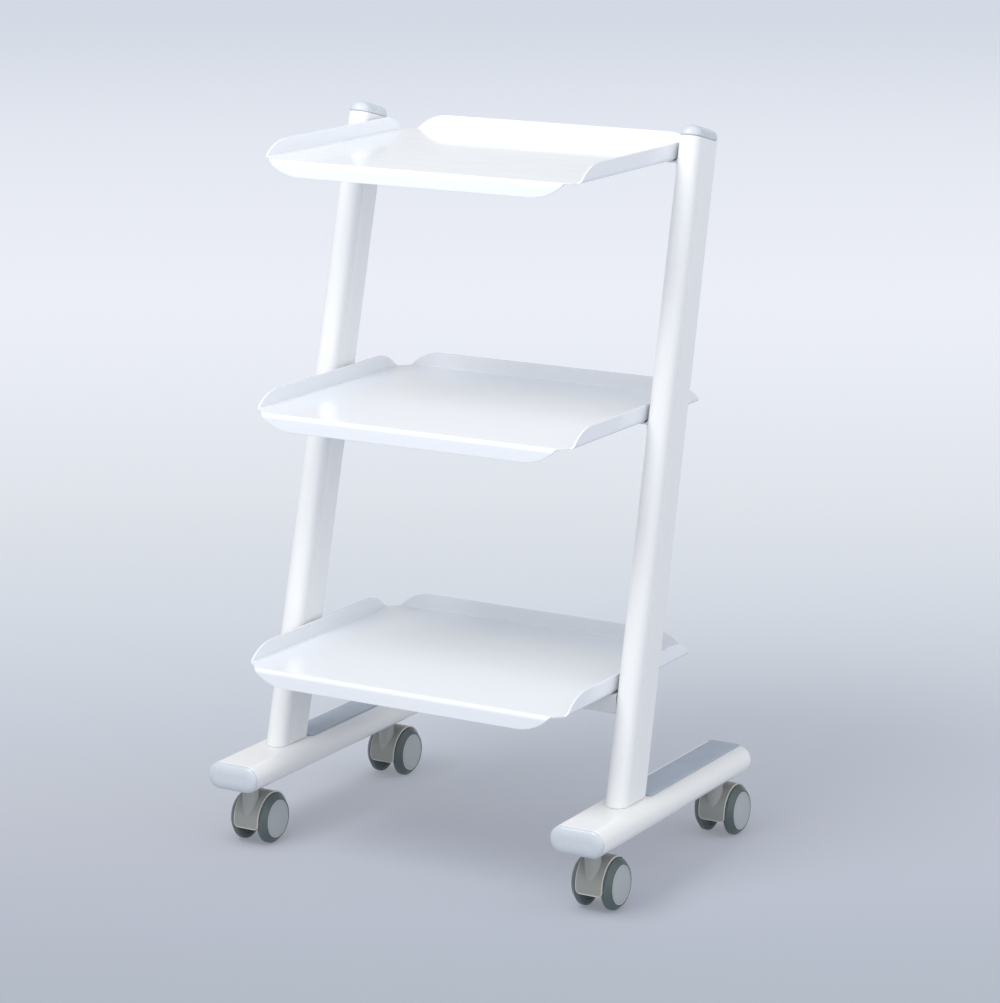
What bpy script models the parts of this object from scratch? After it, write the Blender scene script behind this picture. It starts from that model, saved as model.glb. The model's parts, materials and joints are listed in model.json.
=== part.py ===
# Rolling salon trolley: three folded sheet trays carried between two leaning
# D-section posts, on a base of two flat-oval rails with four twin-wheel casters.
# Metres, +Z up.  X is the width, the open front of the trolley faces -Y, and the
# origin is on the floor, under the middle of the whole trolley.
import bpy
import bmesh
from math import sin, cos, pi, radians, sqrt, atan
from mathutils import Vector

for _ob in list(bpy.data.objects):
    bpy.data.objects.remove(_ob, do_unlink=True)

# ---------------------------------------------------------------- dimensions
GAP = 0.0003                 # air gap between pieces that rest on each other

# base rails (flat-oval extrusions, one at each side, running front to back)
RAIL_X = 0.1972              # centre line of each rail, post and caster pair
RAIL_W = 0.0584
RAIL_H = 0.0261
RAIL_WALL = 0.0022
RAIL_TOP = 0.0883
RAIL_FRONT = -0.1626
RAIL_BACK = 0.1486
FRONT_CAP_BULGE = 0.0052
REAR_CAP_T = 0.0028
STRIP_T = 0.0012
STRIP_FRONT = -0.0431

# posts (D-section extrusions, nose to the front, leaning back)
LEAN_SLOPE = 0.25            # run in Y for each unit of height
POST_W = 0.0240
POST_D = 0.0475              # across the section, square to the post
POST_WALL = 0.0022
POST_CORNER = 0.0030
GROOVE_DEPTH = 0.0006        # two fine grooves along each side, behind the nose
POST_BACK_Y0 = -0.0682       # where the rear face would meet the floor
POST_TOP_REAR_Z = 0.7092
CAP_H = 0.0118

# trays
TRAY_HALF_W = 0.1825
SHEET_T = 0.0018
BEND_R = 0.0025              # inside bend radius
RIM_H = 0.0156
SKIRT_H = 0.0164
CORNER_CUT = 0.0080
END_CURVE = 0.0380           # length over which a flap sweeps up to full height
TRAYS = {                    # name: front edge, back edge, height of the flat
    "tray_bottom": (-0.1691, 0.1119, 0.1907),
    "tray_middle": (-0.1571, 0.1339, 0.4431),
    "tray_top": (-0.1421, 0.1479, 0.6950),
}

# cross rail under the bottom tray
CROSS_Y = (-0.0636, -0.0446)
CROSS_Z = (0.1690, 0.1884)
CROSS_R = 0.0030
CROSS_WALL = 0.0018

# casters
WHEEL_R = 0.0244
TRAIL = 0.0170
STEM_Y = {"front": -0.1325, "rear": 0.1262}
HOOD_R = 0.0263
HOOD_R_IN = 0.0250
BOSS_R = 0.0082
STEM_R = 0.0040
AXLE_R = 0.0030
WEB_HALF = 0.0055
APRON_DROP = 0.0068

# ---------------------------------------------------------------- materials
def material(name, rgb, rough, metal=0.0):
    m = bpy.data.materials.new(name)
    m.use_nodes = True
    b = m.node_tree.nodes["Principled BSDF"]
    b.inputs["Base Color"].default_value = (rgb[0], rgb[1], rgb[2], 1.0)
    b.inputs["Roughness"].default_value = rough
    b.inputs["Metallic"].default_value = metal
    m.diffuse_color = (rgb[0], rgb[1], rgb[2], 1.0)
    return m


WHITE_ALU = material("white_coated_aluminium", (0.87, 0.88, 0.90), 0.30)
WHITE_SHEET = material("white_lacquered_sheet", (0.90, 0.91, 0.93), 0.18)
BLUE_GREY = material("blue_grey_plastic", (0.55, 0.61, 0.70), 0.38)
STRIP_GREY = material("strip_grey_plastic", (0.40, 0.45, 0.52), 0.42)
CROSS_WHITE = material("cross_rail_white_coat", (0.82, 0.82, 0.81), 0.35)
BRACKET = material("bracket_white_coat", (0.80, 0.81, 0.82), 0.40)
ZINC = material("zinc_plated_steel", (0.62, 0.63, 0.65), 0.32, 1.0)
DARK_PLUG = material("dark_nylon", (0.06, 0.06, 0.065), 0.55)
HOOD_GREY = material("caster_hood_grey", (0.24, 0.25, 0.23), 0.45)
TYRE_GREY = material("tyre_slate_grey", (0.060, 0.085, 0.090), 0.60)
DISC_GREY = material("wheel_disc_grey", (0.33, 0.36, 0.38), 0.42)


# ---------------------------------------------------------------- helpers
def new_object(name, bm, mat, origin=None):
    bmesh.ops.remove_doubles(bm, verts=bm.verts, dist=1e-7)
    bmesh.ops.recalc_face_normals(bm, faces=bm.faces)
    me = bpy.data.meshes.new(name)
    if origin is not None:
        bmesh.ops.translate(bm, verts=bm.verts, vec=-Vector(origin))
    bm.to_mesh(me)
    bm.free()
    me.materials.append(mat)
    ob = bpy.data.objects.new(name, me)
    if origin is not None:
        ob.location = origin
    bpy.context.scene.collection.objects.link(ob)
    return ob


def bake_boolean(ob, other, op):
    """Run one exact boolean, keep its result as the mesh, drop the other body."""
    md = ob.modifiers.new("b", "BOOLEAN")
    md.operation = op
    md.solver = "EXACT"
    md.object = other
    bpy.context.view_layer.update()
    dg = bpy.context.evaluated_depsgraph_get()
    me = bpy.data.meshes.new_from_object(ob.evaluated_get(dg))
    ob.modifiers.remove(md)
    old = ob.data
    ob.data = me
    bpy.data.meshes.remove(old)
    om = other.data
    bpy.data.objects.remove(other, do_unlink=True)
    bpy.data.meshes.remove(om)
    return ob


def tidy(ob):
    """Merge what a boolean leaves closer than 20 microns and dissolve flats."""
    bm = bmesh.new()
    bm.from_mesh(ob.data)
    bmesh.ops.remove_doubles(bm, verts=bm.verts, dist=2e-5)
    bmesh.ops.dissolve_limit(bm, angle_limit=radians(0.4), verts=bm.verts,
                             edges=bm.edges)
    bmesh.ops.triangulate(bm, faces=bm.faces)
    bmesh.ops.recalc_face_normals(bm, faces=bm.faces)
    bm.to_mesh(ob.data)
    bm.free()
    return ob


def loft(rings, close_start=True, close_end=True):
    """Closed skin through rings of equal length (each ring a closed loop)."""
    bm = bmesh.new()
    rows = [[bm.verts.new(p) for p in r] for r in rings]
    n = len(rows[0])
    for a, b in zip(rows, rows[1:]):
        for i in range(n):
            j = (i + 1) % n
            bm.faces.new((a[i], a[j], b[j], b[i]))
    if close_start:
        bm.faces.new(rows[0][::-1])
    if close_end:
        bm.faces.new(rows[-1])
    return bm


def tube_loft(rings):
    """Skin through rings that close back on the first one (a hollow section)."""
    bm = bmesh.new()
    rows = [[bm.verts.new(p) for p in r] for r in rings]
    n = len(rows[0])
    for k in range(len(rows)):
        a, b = rows[k], rows[(k + 1) % len(rows)]
        for i in range(n):
            j = (i + 1) % n
            bm.faces.new((a[i], a[j], b[j], b[i]))
    return bm


def cylinder(name, centre, axis, r, length, seg=20, mat=None):
    """Solid cylinder centred on a point, along X, Y or Z."""
    c = Vector(centre)
    rings = []
    for h in (-length / 2, length / 2):
        ring = []
        for i in range(seg):
            a = 2 * pi * (i + 0.5) / seg
            u, v = r * cos(a), r * sin(a)
            p = {"X": Vector((h, u, v)), "Y": Vector((u, h, v)),
                 "Z": Vector((u, v, h))}[axis]
            ring.append(c + p)
        rings.append(ring)
    return new_object(name, loft(rings), mat or ZINC)


def lathe(name, profile, centre, axis, seg, mat, origin=None, phase=0.5):
    """Turn a closed profile of (along, radius) points; radius 0 closes on the axis."""
    bm = bmesh.new()
    c = Vector(centre)
    cols = []
    for h, r in profile:
        if r < 1e-9:
            p = {"X": (h, 0, 0), "Z": (0, 0, h)}[axis]
            cols.append([bm.verts.new(c + Vector(p))])
            continue
        ring = []
        for i in range(seg):
            a = 2 * pi * (i + phase) / seg
            u, v = r * cos(a), r * sin(a)
            p = {"X": (h, u, v), "Z": (u, v, h)}[axis]
            ring.append(bm.verts.new(c + Vector(p)))
        cols.append(ring)
    closed = len(cols[0]) > 1 and len(cols[-1]) > 1
    count = len(cols) if closed else len(cols) - 1
    for k in range(count):
        a, b = cols[k], cols[(k + 1) % len(cols)]
        for i in range(seg):
            j = (i + 1) % seg
            if len(a) == 1 and len(b) == 1:
                break
            if len(a) == 1:
                bm.faces.new((a[0], b[j], b[i]))
            elif len(b) == 1:
                bm.faces.new((a[i], a[j], b[0]))
            else:
                bm.faces.new((a[i], a[j], b[j], b[i]))
    return new_object(name, bm, mat, origin)


# ---------------------------------------------------------------- sections
def oval(width, height, inset=0.0, seg=8):
    """Flat-oval loop (x, z) centred on the origin."""
    r = height / 2 - inset
    flat = width / 2 - height / 2
    pts = []
    for side in (1, -1):
        for i in range(seg + 1):
            a = side * (-pi / 2 + pi * i / seg)
            a = -pi / 2 + pi * i / seg if side == 1 else pi / 2 + pi * i / seg
            pts.append((side * flat + r * cos(a), r * sin(a)))
    return pts


def d_section(inset=0.0, grooves=0.0, seg=10):
    """Post section as (x, s) points: s runs 0 at the nose to POST_D at the back."""
    hw = POST_W / 2 - inset
    s0, s1 = inset, POST_D - inset
    nr = hw
    cr = max(POST_CORNER - inset, 0.0005)
    pts = []
    # nose, from the +x side round to the -x side
    for i in range(seg + 1):
        a = pi * i / seg
        pts.append((hw * cos(a), s0 + nr - nr * sin(a)))

    def groove_points(side):
        out = []
        for s in (0.0146, 0.0172):
            for ds, dx in ((-0.0005, 0.0), (0.0, grooves), (0.0005, 0.0)):
                out.append((side * (hw - dx), s + ds))
        return out

    if grooves:
        pts += groove_points(-1)
    for i in range(4):
        a = pi + (pi / 2) * i / 3
        pts.append((-hw + cr + cr * cos(a), s1 - cr - cr * sin(a)))
    for i in range(4):
        a = (pi / 2) * (3 - i) / 3
        pts.append((hw - cr + cr * cos(a), s1 - cr + cr * sin(a)))
    if grooves:
        pts += groove_points(1)[::-1]
    return pts


LEAN = atan(LEAN_SLOPE)
UP = Vector((0, sin(LEAN), cos(LEAN)))          # along the post
ACROSS = Vector((0, cos(LEAN), -sin(LEAN)))     # nose to back, square to it
TOP_REAR = Vector((0, POST_BACK_Y0 + LEAN_SLOPE * POST_TOP_REAR_Z,
                   POST_TOP_REAR_Z))


def post_point(x, s, t, cx):
    """Point of the post at section (x, s), t metres above the top cut."""
    return Vector((cx + x, 0, 0)) + TOP_REAR + ACROSS * (s - POST_D) + UP * t


def post_point_at_z(x, s, z, cx):
    p = post_point(x, s, 0.0, cx)
    return p + UP * ((z - p.z) / UP.z)


def post_axis_y(z):
    """Y of the middle of the post section at height z."""
    return POST_BACK_Y0 + LEAN_SLOPE * z - POST_D / cos(LEAN) / 2


# ---------------------------------------------------------------- base rails
BOLT_Y = post_axis_y(RAIL_TOP) + 0.001
RAIL_MID = RAIL_TOP - RAIL_H / 2


def base_rail(side, sx):
    cx = sx * RAIL_X
    rings = []
    for y, ins in ((RAIL_FRONT, 0.0), (RAIL_BACK, 0.0),
                   (RAIL_BACK, RAIL_WALL), (RAIL_FRONT, RAIL_WALL)):
        rings.append([Vector((cx + x, y, RAIL_MID + z))
                      for x, z in oval(RAIL_W, RAIL_H, ins)])
    ob = new_object(f"base_rail_{side}", tube_loft(rings), WHITE_ALU)
    low = RAIL_TOP - RAIL_H
    for end in ("front", "rear"):
        c = cylinder("cut", (cx, STEM_Y[end], low), "Z", STEM_R + GAP, 0.010, 16)
        bake_boolean(ob, c, "DIFFERENCE")
    c = cylinder("cut", (cx, BOLT_Y, RAIL_MID), "Z", 0.0034, 0.040, 16)
    bake_boolean(ob, c, "DIFFERENCE")
    return tidy(ob)


def front_cap(side, sx):
    """Plug that fills the rail end, with a softly domed face."""
    cx = sx * RAIL_X
    rings = []
    steps = [(RAIL_FRONT + 0.012, RAIL_WALL + GAP + 0.0006),
             (RAIL_FRONT + 0.010, RAIL_WALL + GAP),
             (RAIL_FRONT - GAP, RAIL_WALL + GAP),
             (RAIL_FRONT - GAP, 0.0)]
    n = 4
    for i in range(1, n + 1):
        a = (pi / 2) * i / (n + 0.6)
        steps.append((RAIL_FRONT - GAP - FRONT_CAP_BULGE * sin(a),
                      0.0085 * (1 - cos(a))))
    for y, ins in steps:
        rings.append([Vector((cx + x, y, RAIL_MID + z))
                      for x, z in oval(RAIL_W, RAIL_H, ins)])
    return new_object(f"front_cap_{side}", loft(rings), BLUE_GREY)


def rear_cap(side, sx):
    cx = sx * RAIL_X
    b = RAIL_BACK
    steps = [(b - 0.012, RAIL_WALL + GAP + 0.0006), (b - 0.010, RAIL_WALL + GAP),
             (b + GAP, RAIL_WALL + GAP), (b + GAP, 0.0),
             (b + REAR_CAP_T - 0.0012, 0.0), (b + REAR_CAP_T - 0.0003, 0.0005),
             (b + REAR_CAP_T, 0.0014)]
    rings = [[Vector((cx + x, y, RAIL_MID + z))
              for x, z in oval(RAIL_W, RAIL_H, ins)] for y, ins in steps]
    return new_object(f"rear_cap_{side}", loft(rings), BLUE_GREY)


def cover_strip(side, sx):
    """Slim strip on the flat of the rail, from behind the post to the rear."""
    cx = sx * RAIL_X
    hw = (RAIL_W - RAIL_H) / 2
    z0 = RAIL_TOP + GAP
    y0, y1 = STRIP_FRONT, RAIL_BACK + REAR_CAP_T - 0.0015
    rings = []
    for z, ins in ((z0, 0.0), (z0 + STRIP_T - 0.0005, 0.0),
                   (z0 + STRIP_T - 0.00015, 0.00015), (z0 + STRIP_T, 0.0005)):
        rings.append([Vector((cx + x, y, z)) for x, y in
                      ((-hw + ins, y0 + ins), (hw - ins, y0 + ins),
                       (hw - ins, y1 - ins), (-hw + ins, y1 - ins))])
    return new_object(f"cover_strip_{side}", loft(rings), STRIP_GREY)


# ---------------------------------------------------------------- posts
POST_BOTTOM = RAIL_TOP + GAP
PLUG_H = 0.030
SCREW_DROP = 0.0130


def bracket_y(tray):
    """Middle of the bracket: on the post, or behind the cross rail when low."""
    z = TRAYS[tray][2] - SCREW_DROP
    if tray == "tray_bottom":
        return CROSS_Y[1] + 0.0110
    return post_axis_y(z) + 0.002


def post(side, sx):
    cx = sx * RAIL_X
    outer, inner = d_section(0.0, GROOVE_DEPTH), d_section(POST_WALL, 0.0001)
    rings = [[post_point_at_z(x, s, POST_BOTTOM, cx) for x, s in outer],
             [post_point(x, s, 0.0, cx) for x, s in outer],
             [post_point(x, s, 0.0, cx) for x, s in inner],
             [post_point_at_z(x, s, POST_BOTTOM, cx) for x, s in inner]]
    ob = new_object(f"post_{side}", tube_loft(rings), WHITE_ALU)
    for tray, (yf, yb, zt) in TRAYS.items():
        c = cylinder("cut", (cx - sx * POST_W / 2, bracket_y(tray), zt - SCREW_DROP),
                     "X", 0.0029, 0.010, 12)
        bake_boolean(ob, c, "DIFFERENCE")
    return tidy(ob)


def post_cap(side, sx):
    cx = sx * RAIL_X
    g = 0.0004
    steps = [(-0.012, POST_WALL + GAP + 0.0006), (-0.010, POST_WALL + GAP),
             (g, POST_WALL + GAP), (g, 0.0), (g + 0.0016, 0.0)]
    n = 5
    for i in range(1, n + 1):
        a = (pi / 2) * i / n
        steps.append((g + 0.0016 + (CAP_H - 0.0030) * sin(a), 0.0085 * (1 - cos(a))))
    steps.append((g + CAP_H - 0.0004, 0.0104))
    rings = [[post_point(x, s, t, cx) for x, s in d_section(ins)]
             for t, ins in steps]
    return new_object(f"post_cap_{side}", loft(rings), BLUE_GREY)


def foot_plug(side, sx):
    """Solid block inside the foot of the post; the post bolt threads into it."""
    cx = sx * RAIL_X
    sec = []
    for x, s in d_section(POST_WALL + GAP):
        hw = POST_W / 2 - POST_WALL - GAP - 0.0009
        sec.append((max(-hw, min(hw, x)), s))
    rings = [[post_point_at_z(x, s, z, cx) for x, s in sec]
             for z in (POST_BOTTOM + GAP, POST_BOTTOM + GAP + PLUG_H)]
    ob = new_object(f"foot_plug_{side}", loft(rings), DARK_PLUG)
    c = cylinder("cut", (cx, BOLT_Y, POST_BOTTOM), "Z", 0.0033, 0.044, 16)
    bake_boolean(ob, c, "DIFFERENCE")
    return tidy(ob)


def post_bolt(side, sx):
    """Button-head bolt from under the rail, up into the foot plug."""
    cx = sx * RAIL_X
    low = RAIL_TOP - RAIL_H - GAP
    prof = [(low - 0.0008, 0.0), (low - 0.0008, 0.0022), (low - 0.0034, 0.0026),
            (low - 0.0034, 0.0045), (low - 0.0022, 0.0061), (low, 0.0064),
            (low, 0.0030), (POST_BOTTOM + 0.0200, 0.0030),
            (POST_BOTTOM + 0.0212, 0.0020), (POST_BOTTOM + 0.0212, 0.0)]
    return lathe(f"post_bolt_{side}", prof, (cx, BOLT_Y, 0), "Z", 12, ZINC)


def cross_rail():
    """Hollow rectangular tube with rounded edges between the posts."""
    x1 = RAIL_X - POST_W / 2 - GAP
    (ya, yb), (za, zb) = CROSS_Y, CROSS_Z

    def loop(ins):
        r = CROSS_R - ins if CROSS_R > ins else 0.0004
        pts = []
        for cy, cz, a0 in ((yb - ins - r, zb - ins - r, 0), (ya + ins + r, zb - ins - r, 90),
                           (ya + ins + r, za + ins + r, 180), (yb - ins - r, za + ins + r, 270)):
            for i in range(4):
                a = radians(a0 + 30 * i)
                pts.append((cy + r * cos(a), cz + r * sin(a)))
        return pts

    rings = [[Vector((x, y, z)) for y, z in loop(ins)]
             for x, ins in ((-x1, 0.0), (x1, 0.0), (x1, CROSS_WALL), (-x1, CROSS_WALL))]
    return new_object("cross_rail", tube_loft(rings), CROSS_WHITE)


# ---------------------------------------------------------------- trays
def flap_profile(d, down):
    """Sheet folded at the base line: (out, height) of the two faces at length d."""
    ri, t = BEND_R, SHEET_T
    arc = (ri + t / 2) * pi / 2
    a = min(d, arc) / arc * pi / 2
    rest = max(0.0, d - arc)
    near = (ri * sin(a), ri - ri * cos(a) + rest)
    far = ((ri + t) * sin(a), ri - (ri + t) * cos(a) + rest)
    if down:
        return (far[0], -SHEET_T - far[1]), (near[0], -SHEET_T - near[1])
    return near, far


def tray(name, n=5, m=3):
    y0, y1, zt = TRAYS[name]
    inset = SHEET_T + BEND_R
    ox, oyf, oyb = TRAY_HALF_W - inset, y0 + inset, y1 - inset
    cy = (oyf + oyb) / 2
    hy = (oyb - oyf) / 2
    arc = (BEND_R + SHEET_T / 2) * pi / 2
    full_up = arc + RIM_H - BEND_R
    full_dn = arc + SKIRT_H - BEND_R - SHEET_T
    bm = bmesh.new()
    sides = [  # outward, along, base distance, half length, full length, down
        (Vector((1, 0, 0)), Vector((0, 1, 0)), ox, hy - CORNER_CUT, full_up, False),
        (Vector((0, 1, 0)), Vector((-1, 0, 0)), hy, ox - CORNER_CUT, full_up, False),
        (Vector((-1, 0, 0)), Vector((0, -1, 0)), ox, hy - CORNER_CUT, full_up, False),
        (Vector((0, -1, 0)), Vector((1, 0, 0)), hy, ox - CORNER_CUT, full_dn, True),
    ]
    centre = Vector((0, cy, zt))
    loops_top, loops_bot = [], []
    edges_top, edges_bot = [], []
    for out, along, base, half, full, down in sides:
        stations = [(-half + END_CURVE * (1 - cos(pi / 2 * k / n)),
                     full * sin(pi / 2 * k / n)) for k in range(n + 1)]
        stations += [(-s, l) for s, l in stations[::-1]]
        cols = []
        for k, (s, length) in enumerate(stations):
            origin = centre + out * base + along * s
            if length < 1e-6:
                top = bm.verts.new(origin)
                bot = bm.verts.new(origin + Vector((0, 0, -SHEET_T)))
                cols.append(([top], [bot]))
                continue
            rows = [arc * j / m for j in range(m + 1)] + [length]
            top, bot = [], []
            for d in rows:
                p, q = flap_profile(d, down)
                top.append(bm.verts.new(origin + out * p[0] + Vector((0, 0, p[1]))))
                bot.append(bm.verts.new(origin + out * q[0] + Vector((0, 0, q[1]))))
            cols.append((top, bot))
        for (ta, ba), (tb, bb) in zip(cols, cols[1:]):
            for a, b in ((ta, tb), (ba, bb)):
                if len(a) == 1:
                    for j in range(len(b) - 1):
                        bm.faces.new((a[0], b[j], b[j + 1]))
                elif len(b) == 1:
                    for j in range(len(a) - 1):
                        bm.faces.new((a[j], b[0], a[j + 1]))
                else:
                    for j in range(len(a) - 1):
                        bm.faces.new((a[j], b[j], b[j + 1], a[j + 1]))
            bm.faces.new((ta[-1], tb[-1], bb[-1], ba[-1]))
        loops_top.append([c[0][0] for c in cols])
        loops_bot.append([c[1][0] for c in cols])
    for i in range(4):                     # the four cut corners
        a_t, b_t = loops_top[i][-1], loops_top[(i + 1) % 4][0]
        a_b, b_b = loops_bot[i][-1], loops_bot[(i + 1) % 4][0]
        bm.faces.new((a_t, b_t, b_b, a_b))
    for loops, z in ((loops_top, 0.0), (loops_bot, -SHEET_T)):
        mid = bm.verts.new(centre + Vector((0, 0, z)))
        ring = [v for l in loops for v in l]
        for i, v in enumerate(ring):
            bm.faces.new((mid, v, ring[(i + 1) % len(ring)]))
    return new_object(name, bm, WHITE_SHEET)


def tray_bracket(side, sx, tray_name):
    """Angle bracket: one leg on the post, one leg under the tray."""
    tag = tray_name.split("_")[1]
    zt = TRAYS[tray_name][2] - SHEET_T - GAP
    yc = bracket_y(tray_name)
    hy = 0.009 if tray_name == "tray_bottom" else 0.012
    xo = RAIL_X - POST_W / 2 - GAP
    xi = xo - 0.0020
    drop = 0.0200
    prof = [(xo, zt + 0.0020), (xo, zt - drop), (xi, zt - drop), (xi, zt - 0.0030),
            (xi - 0.0010, zt - 0.0020), (xi - 0.0330, zt - 0.0020),
            (xi - 0.0330, zt), (xi - 0.0012, zt), (xi, zt + 0.0006), (xi, zt + 0.0020)]
    rings = [[Vector((sx * x, y, z)) for x, z in prof] for y in (yc - hy, yc + hy)]
    ob = new_object(f"bracket_{tag}_{side}", loft(rings), BRACKET)
    c = cylinder("cut", (sx * xo, yc, TRAYS[tray_name][2] - SCREW_DROP), "X",
                 0.0029, 0.012, 12)
    bake_boolean(ob, c, "DIFFERENCE")
    return tidy(ob)


def bracket_screw(side, sx, tray_name):
    """Socket screw through the bracket into the wall of the post."""
    tag = tray_name.split("_")[1]
    z = TRAYS[tray_name][2] - SCREW_DROP
    xf = RAIL_X - POST_W / 2 - GAP - 0.0020 - GAP      # face under the head
    prof = [(xf - 0.0008, 0.0), (xf - 0.0008, 0.0017), (xf - 0.0026, 0.0019),
            (xf - 0.0026, 0.0034), (xf - 0.0016, 0.0045), (xf, 0.0047),
            (xf, 0.0025), (xf + 0.0090, 0.0025), (xf + 0.0098, 0.0018),
            (xf + 0.0098, 0.0)]
    prof = [(sx * h, r) for h, r in prof]
    return lathe(f"screw_{tag}_{side}", prof, (0, bracket_y(tray_name), z), "X",
                 10, ZINC)


# ---------------------------------------------------------------- casters
HOOD_TOP = 0.0606            # top of the stem boss


def hood_path(r, end_drop):
    """Side outline of the hood: rear edge, over the wheels, down the front."""
    pts = []
    for i in range(11):
        a = radians(10 + (180 - 10) * i / 10)
        pts.append((r * cos(a), WHEEL_R + r * sin(a)))
    for dz in (0.0024, 0.0048, end_drop):
        pts.append((-r + 0.0004 * dz / APRON_DROP, WHEEL_R - dz))
    return pts


def hood(tag, sx, end):
    cx = sx * RAIL_X
    ys = STEM_Y[end]
    yw = ys + TRAIL
    widths = [0.0160, 0.0159, 0.0158, 0.0157, 0.0156, 0.0154, 0.0152, 0.0150,
              0.0148, 0.0147, 0.0146, 0.0144, 0.0134, 0.0112]
    outer = hood_path(HOOD_R, APRON_DROP)
    inner = hood_path(HOOD_R_IN, APRON_DROP)
    rings = []
    for (oy, oz), (iy, iz), w in zip(outer, inner, widths):
        rings.append([Vector((cx - w, yw + oy, oz)), Vector((cx + w, yw + oy, oz)),
                      Vector((cx + w, yw + iy, iz)), Vector((cx - w, yw + iy, iz))])
    ob = new_object(f"caster_{tag}_hood", loft(rings), HOOD_GREY)

    # stem boss, trimmed on the middle of the shell so it stays off the wheels
    boss = cylinder("boss", (cx, ys, (0.029 + HOOD_TOP) / 2), "Z", BOSS_R,
                    HOOD_TOP - 0.029, 20, HOOD_GREY)
    bite = cylinder("bite", (cx, yw, WHEEL_R), "X", (HOOD_R + HOOD_R_IN) / 2,
                    0.060, 40)
    bake_boolean(boss, bite, "DIFFERENCE")
    bake_boolean(ob, boss, "UNION")

    # web between the wheels, from the front apron to the axle
    rw = (HOOD_R + HOOD_R_IN) / 2
    web = [(rw * cos(radians(a)), rw * sin(radians(a))) for a in range(60, 181, 10)]
    web += [(-rw + 0.0003, -0.0045), (-0.0160, -0.0078), (-0.0040, -0.0078),
            (0.0055, -0.0055), (0.0085, 0.0), (0.0100, 0.0090)]
    rings = [[Vector((cx + x, yw + y, WHEEL_R + z)) for y, z in web]
             for x in (-WEB_HALF, WEB_HALF)]
    wb = new_object("web", loft(rings), HOOD_GREY)
    bake_boolean(ob, wb, "UNION")

    bore = cylinder("bore", (cx, ys, 0.0560), "Z", STEM_R + GAP, 0.024, 16)
    bake_boolean(ob, bore, "DIFFERENCE")
    bore = cylinder("bore", (cx, yw, WHEEL_R), "X", AXLE_R + GAP, 0.030, 16)
    bake_boolean(ob, bore, "DIFFERENCE")
    tidy(ob)
    # origin on the swivel axis
    bm = bmesh.new()
    bm.from_mesh(ob.data)
    o = Vector((cx, ys, 0.0))
    bmesh.ops.translate(bm, verts=bm.verts, vec=-o)
    bm.to_mesh(ob.data)
    bm.free()
    ob.location = o
    return ob


def stem(tag, sx, end):
    cx, ys = sx * RAIL_X, STEM_Y[end]
    low = RAIL_TOP - RAIL_H
    z0 = 0.0560 - 0.012 + 0.0006
    prof = [(z0, 0.0), (z0, STEM_R - 0.0006), (z0 + 0.0006, STEM_R),
            (HOOD_TOP + GAP, STEM_R), (HOOD_TOP + GAP, 0.0080),
            (low - GAP, 0.0080), (low - GAP, STEM_R), (0.0806, STEM_R),
            (0.0814, STEM_R - 0.0008), (0.0814, 0.0)]
    return lathe(f"caster_{tag}_stem", prof, (cx, ys, 0), "Z", 16, ZINC)


def axle(tag, sx, end):
    cx, yw = sx * RAIL_X, STEM_Y[end] + TRAIL
    h = 0.0187
    prof = [(-h, 0.0), (-h, AXLE_R - 0.0005), (-h + 0.0005, AXLE_R),
            (h - 0.0005, AXLE_R), (h, AXLE_R - 0.0005), (h, 0.0)]
    return lathe(f"caster_{tag}_axle", prof, (cx, yw, WHEEL_R), "X", 14, ZINC)


def wheel(tag, sx, end, which, wx):
    cx, yw = sx * RAIL_X, STEM_Y[end] + TRAIL
    o = (cx, yw, WHEEL_R)
    tyre = [(0.0110, 0.0190), (0.0113, 0.0220), (0.0124, 0.0240), (0.0132, WHEEL_R),
            (0.0170, WHEEL_R), (0.0222, 0.0198), (0.0222, 0.0190)]
    disc = [(0.0080, 0.0070), (0.0080, AXLE_R + GAP), (0.0190, AXLE_R + GAP),
            (0.0190, 0.0), (0.0227, 0.0), (0.0225, 0.0120), (0.0218, 0.0187),
            (0.0114, 0.0187), (0.0114, 0.0168), (0.0132, 0.0162), (0.0132, 0.0078)]
    lathe(f"caster_{tag}_tyre_{which}", [(wx * h, r) for h, r in tyre], o, "X",
          24, TYRE_GREY, origin=o, phase=0.0)
    # the disc profile is closed around its blind bore
    start = 3
    prof = [(wx * h, r) for h, r in disc[start + 1:] + disc[:start + 1]]
    lathe(f"caster_{tag}_disc_{which}", prof, o, "X", 20, DISC_GREY, origin=o)


# ---------------------------------------------------------------- assembly
for side, sx in (("left", -1), ("right", 1)):
    base_rail(side, sx)
    front_cap(side, sx)
    rear_cap(side, sx)
    cover_strip(side, sx)
    post(side, sx)
    post_cap(side, sx)
    foot_plug(side, sx)
    post_bolt(side, sx)
    for t in TRAYS:
        tray_bracket(side, sx, t)
        bracket_screw(side, sx, t)
cross_rail()
for t in TRAYS:
    tray(t)

for side, sx in (("left", -1), ("right", 1)):
    for end in ("front", "rear"):
        tag = f"{end}_{side}"
        pivot = bpy.data.objects.new(f"swivel_{tag}", None)
        pivot.location = (sx * RAIL_X, STEM_Y[end], 0.0)
        bpy.context.scene.collection.objects.link(pivot)
        bpy.context.view_layer.update()
        stem(tag, sx, end)
        parts = [hood(tag, sx, end), axle(tag, sx, end)]
        wheel(tag, sx, end, "l", -1)
        wheel(tag, sx, end, "r", 1)
        for part in ("tyre_l", "tyre_r", "disc_l", "disc_r"):
            parts.append(bpy.data.objects[f"caster_{tag}_{part}"])
        for p in parts:
            p.parent = pivot
            p.matrix_parent_inverse = pivot.matrix_world.inverted()

bpy.context.view_layer.update()
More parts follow.
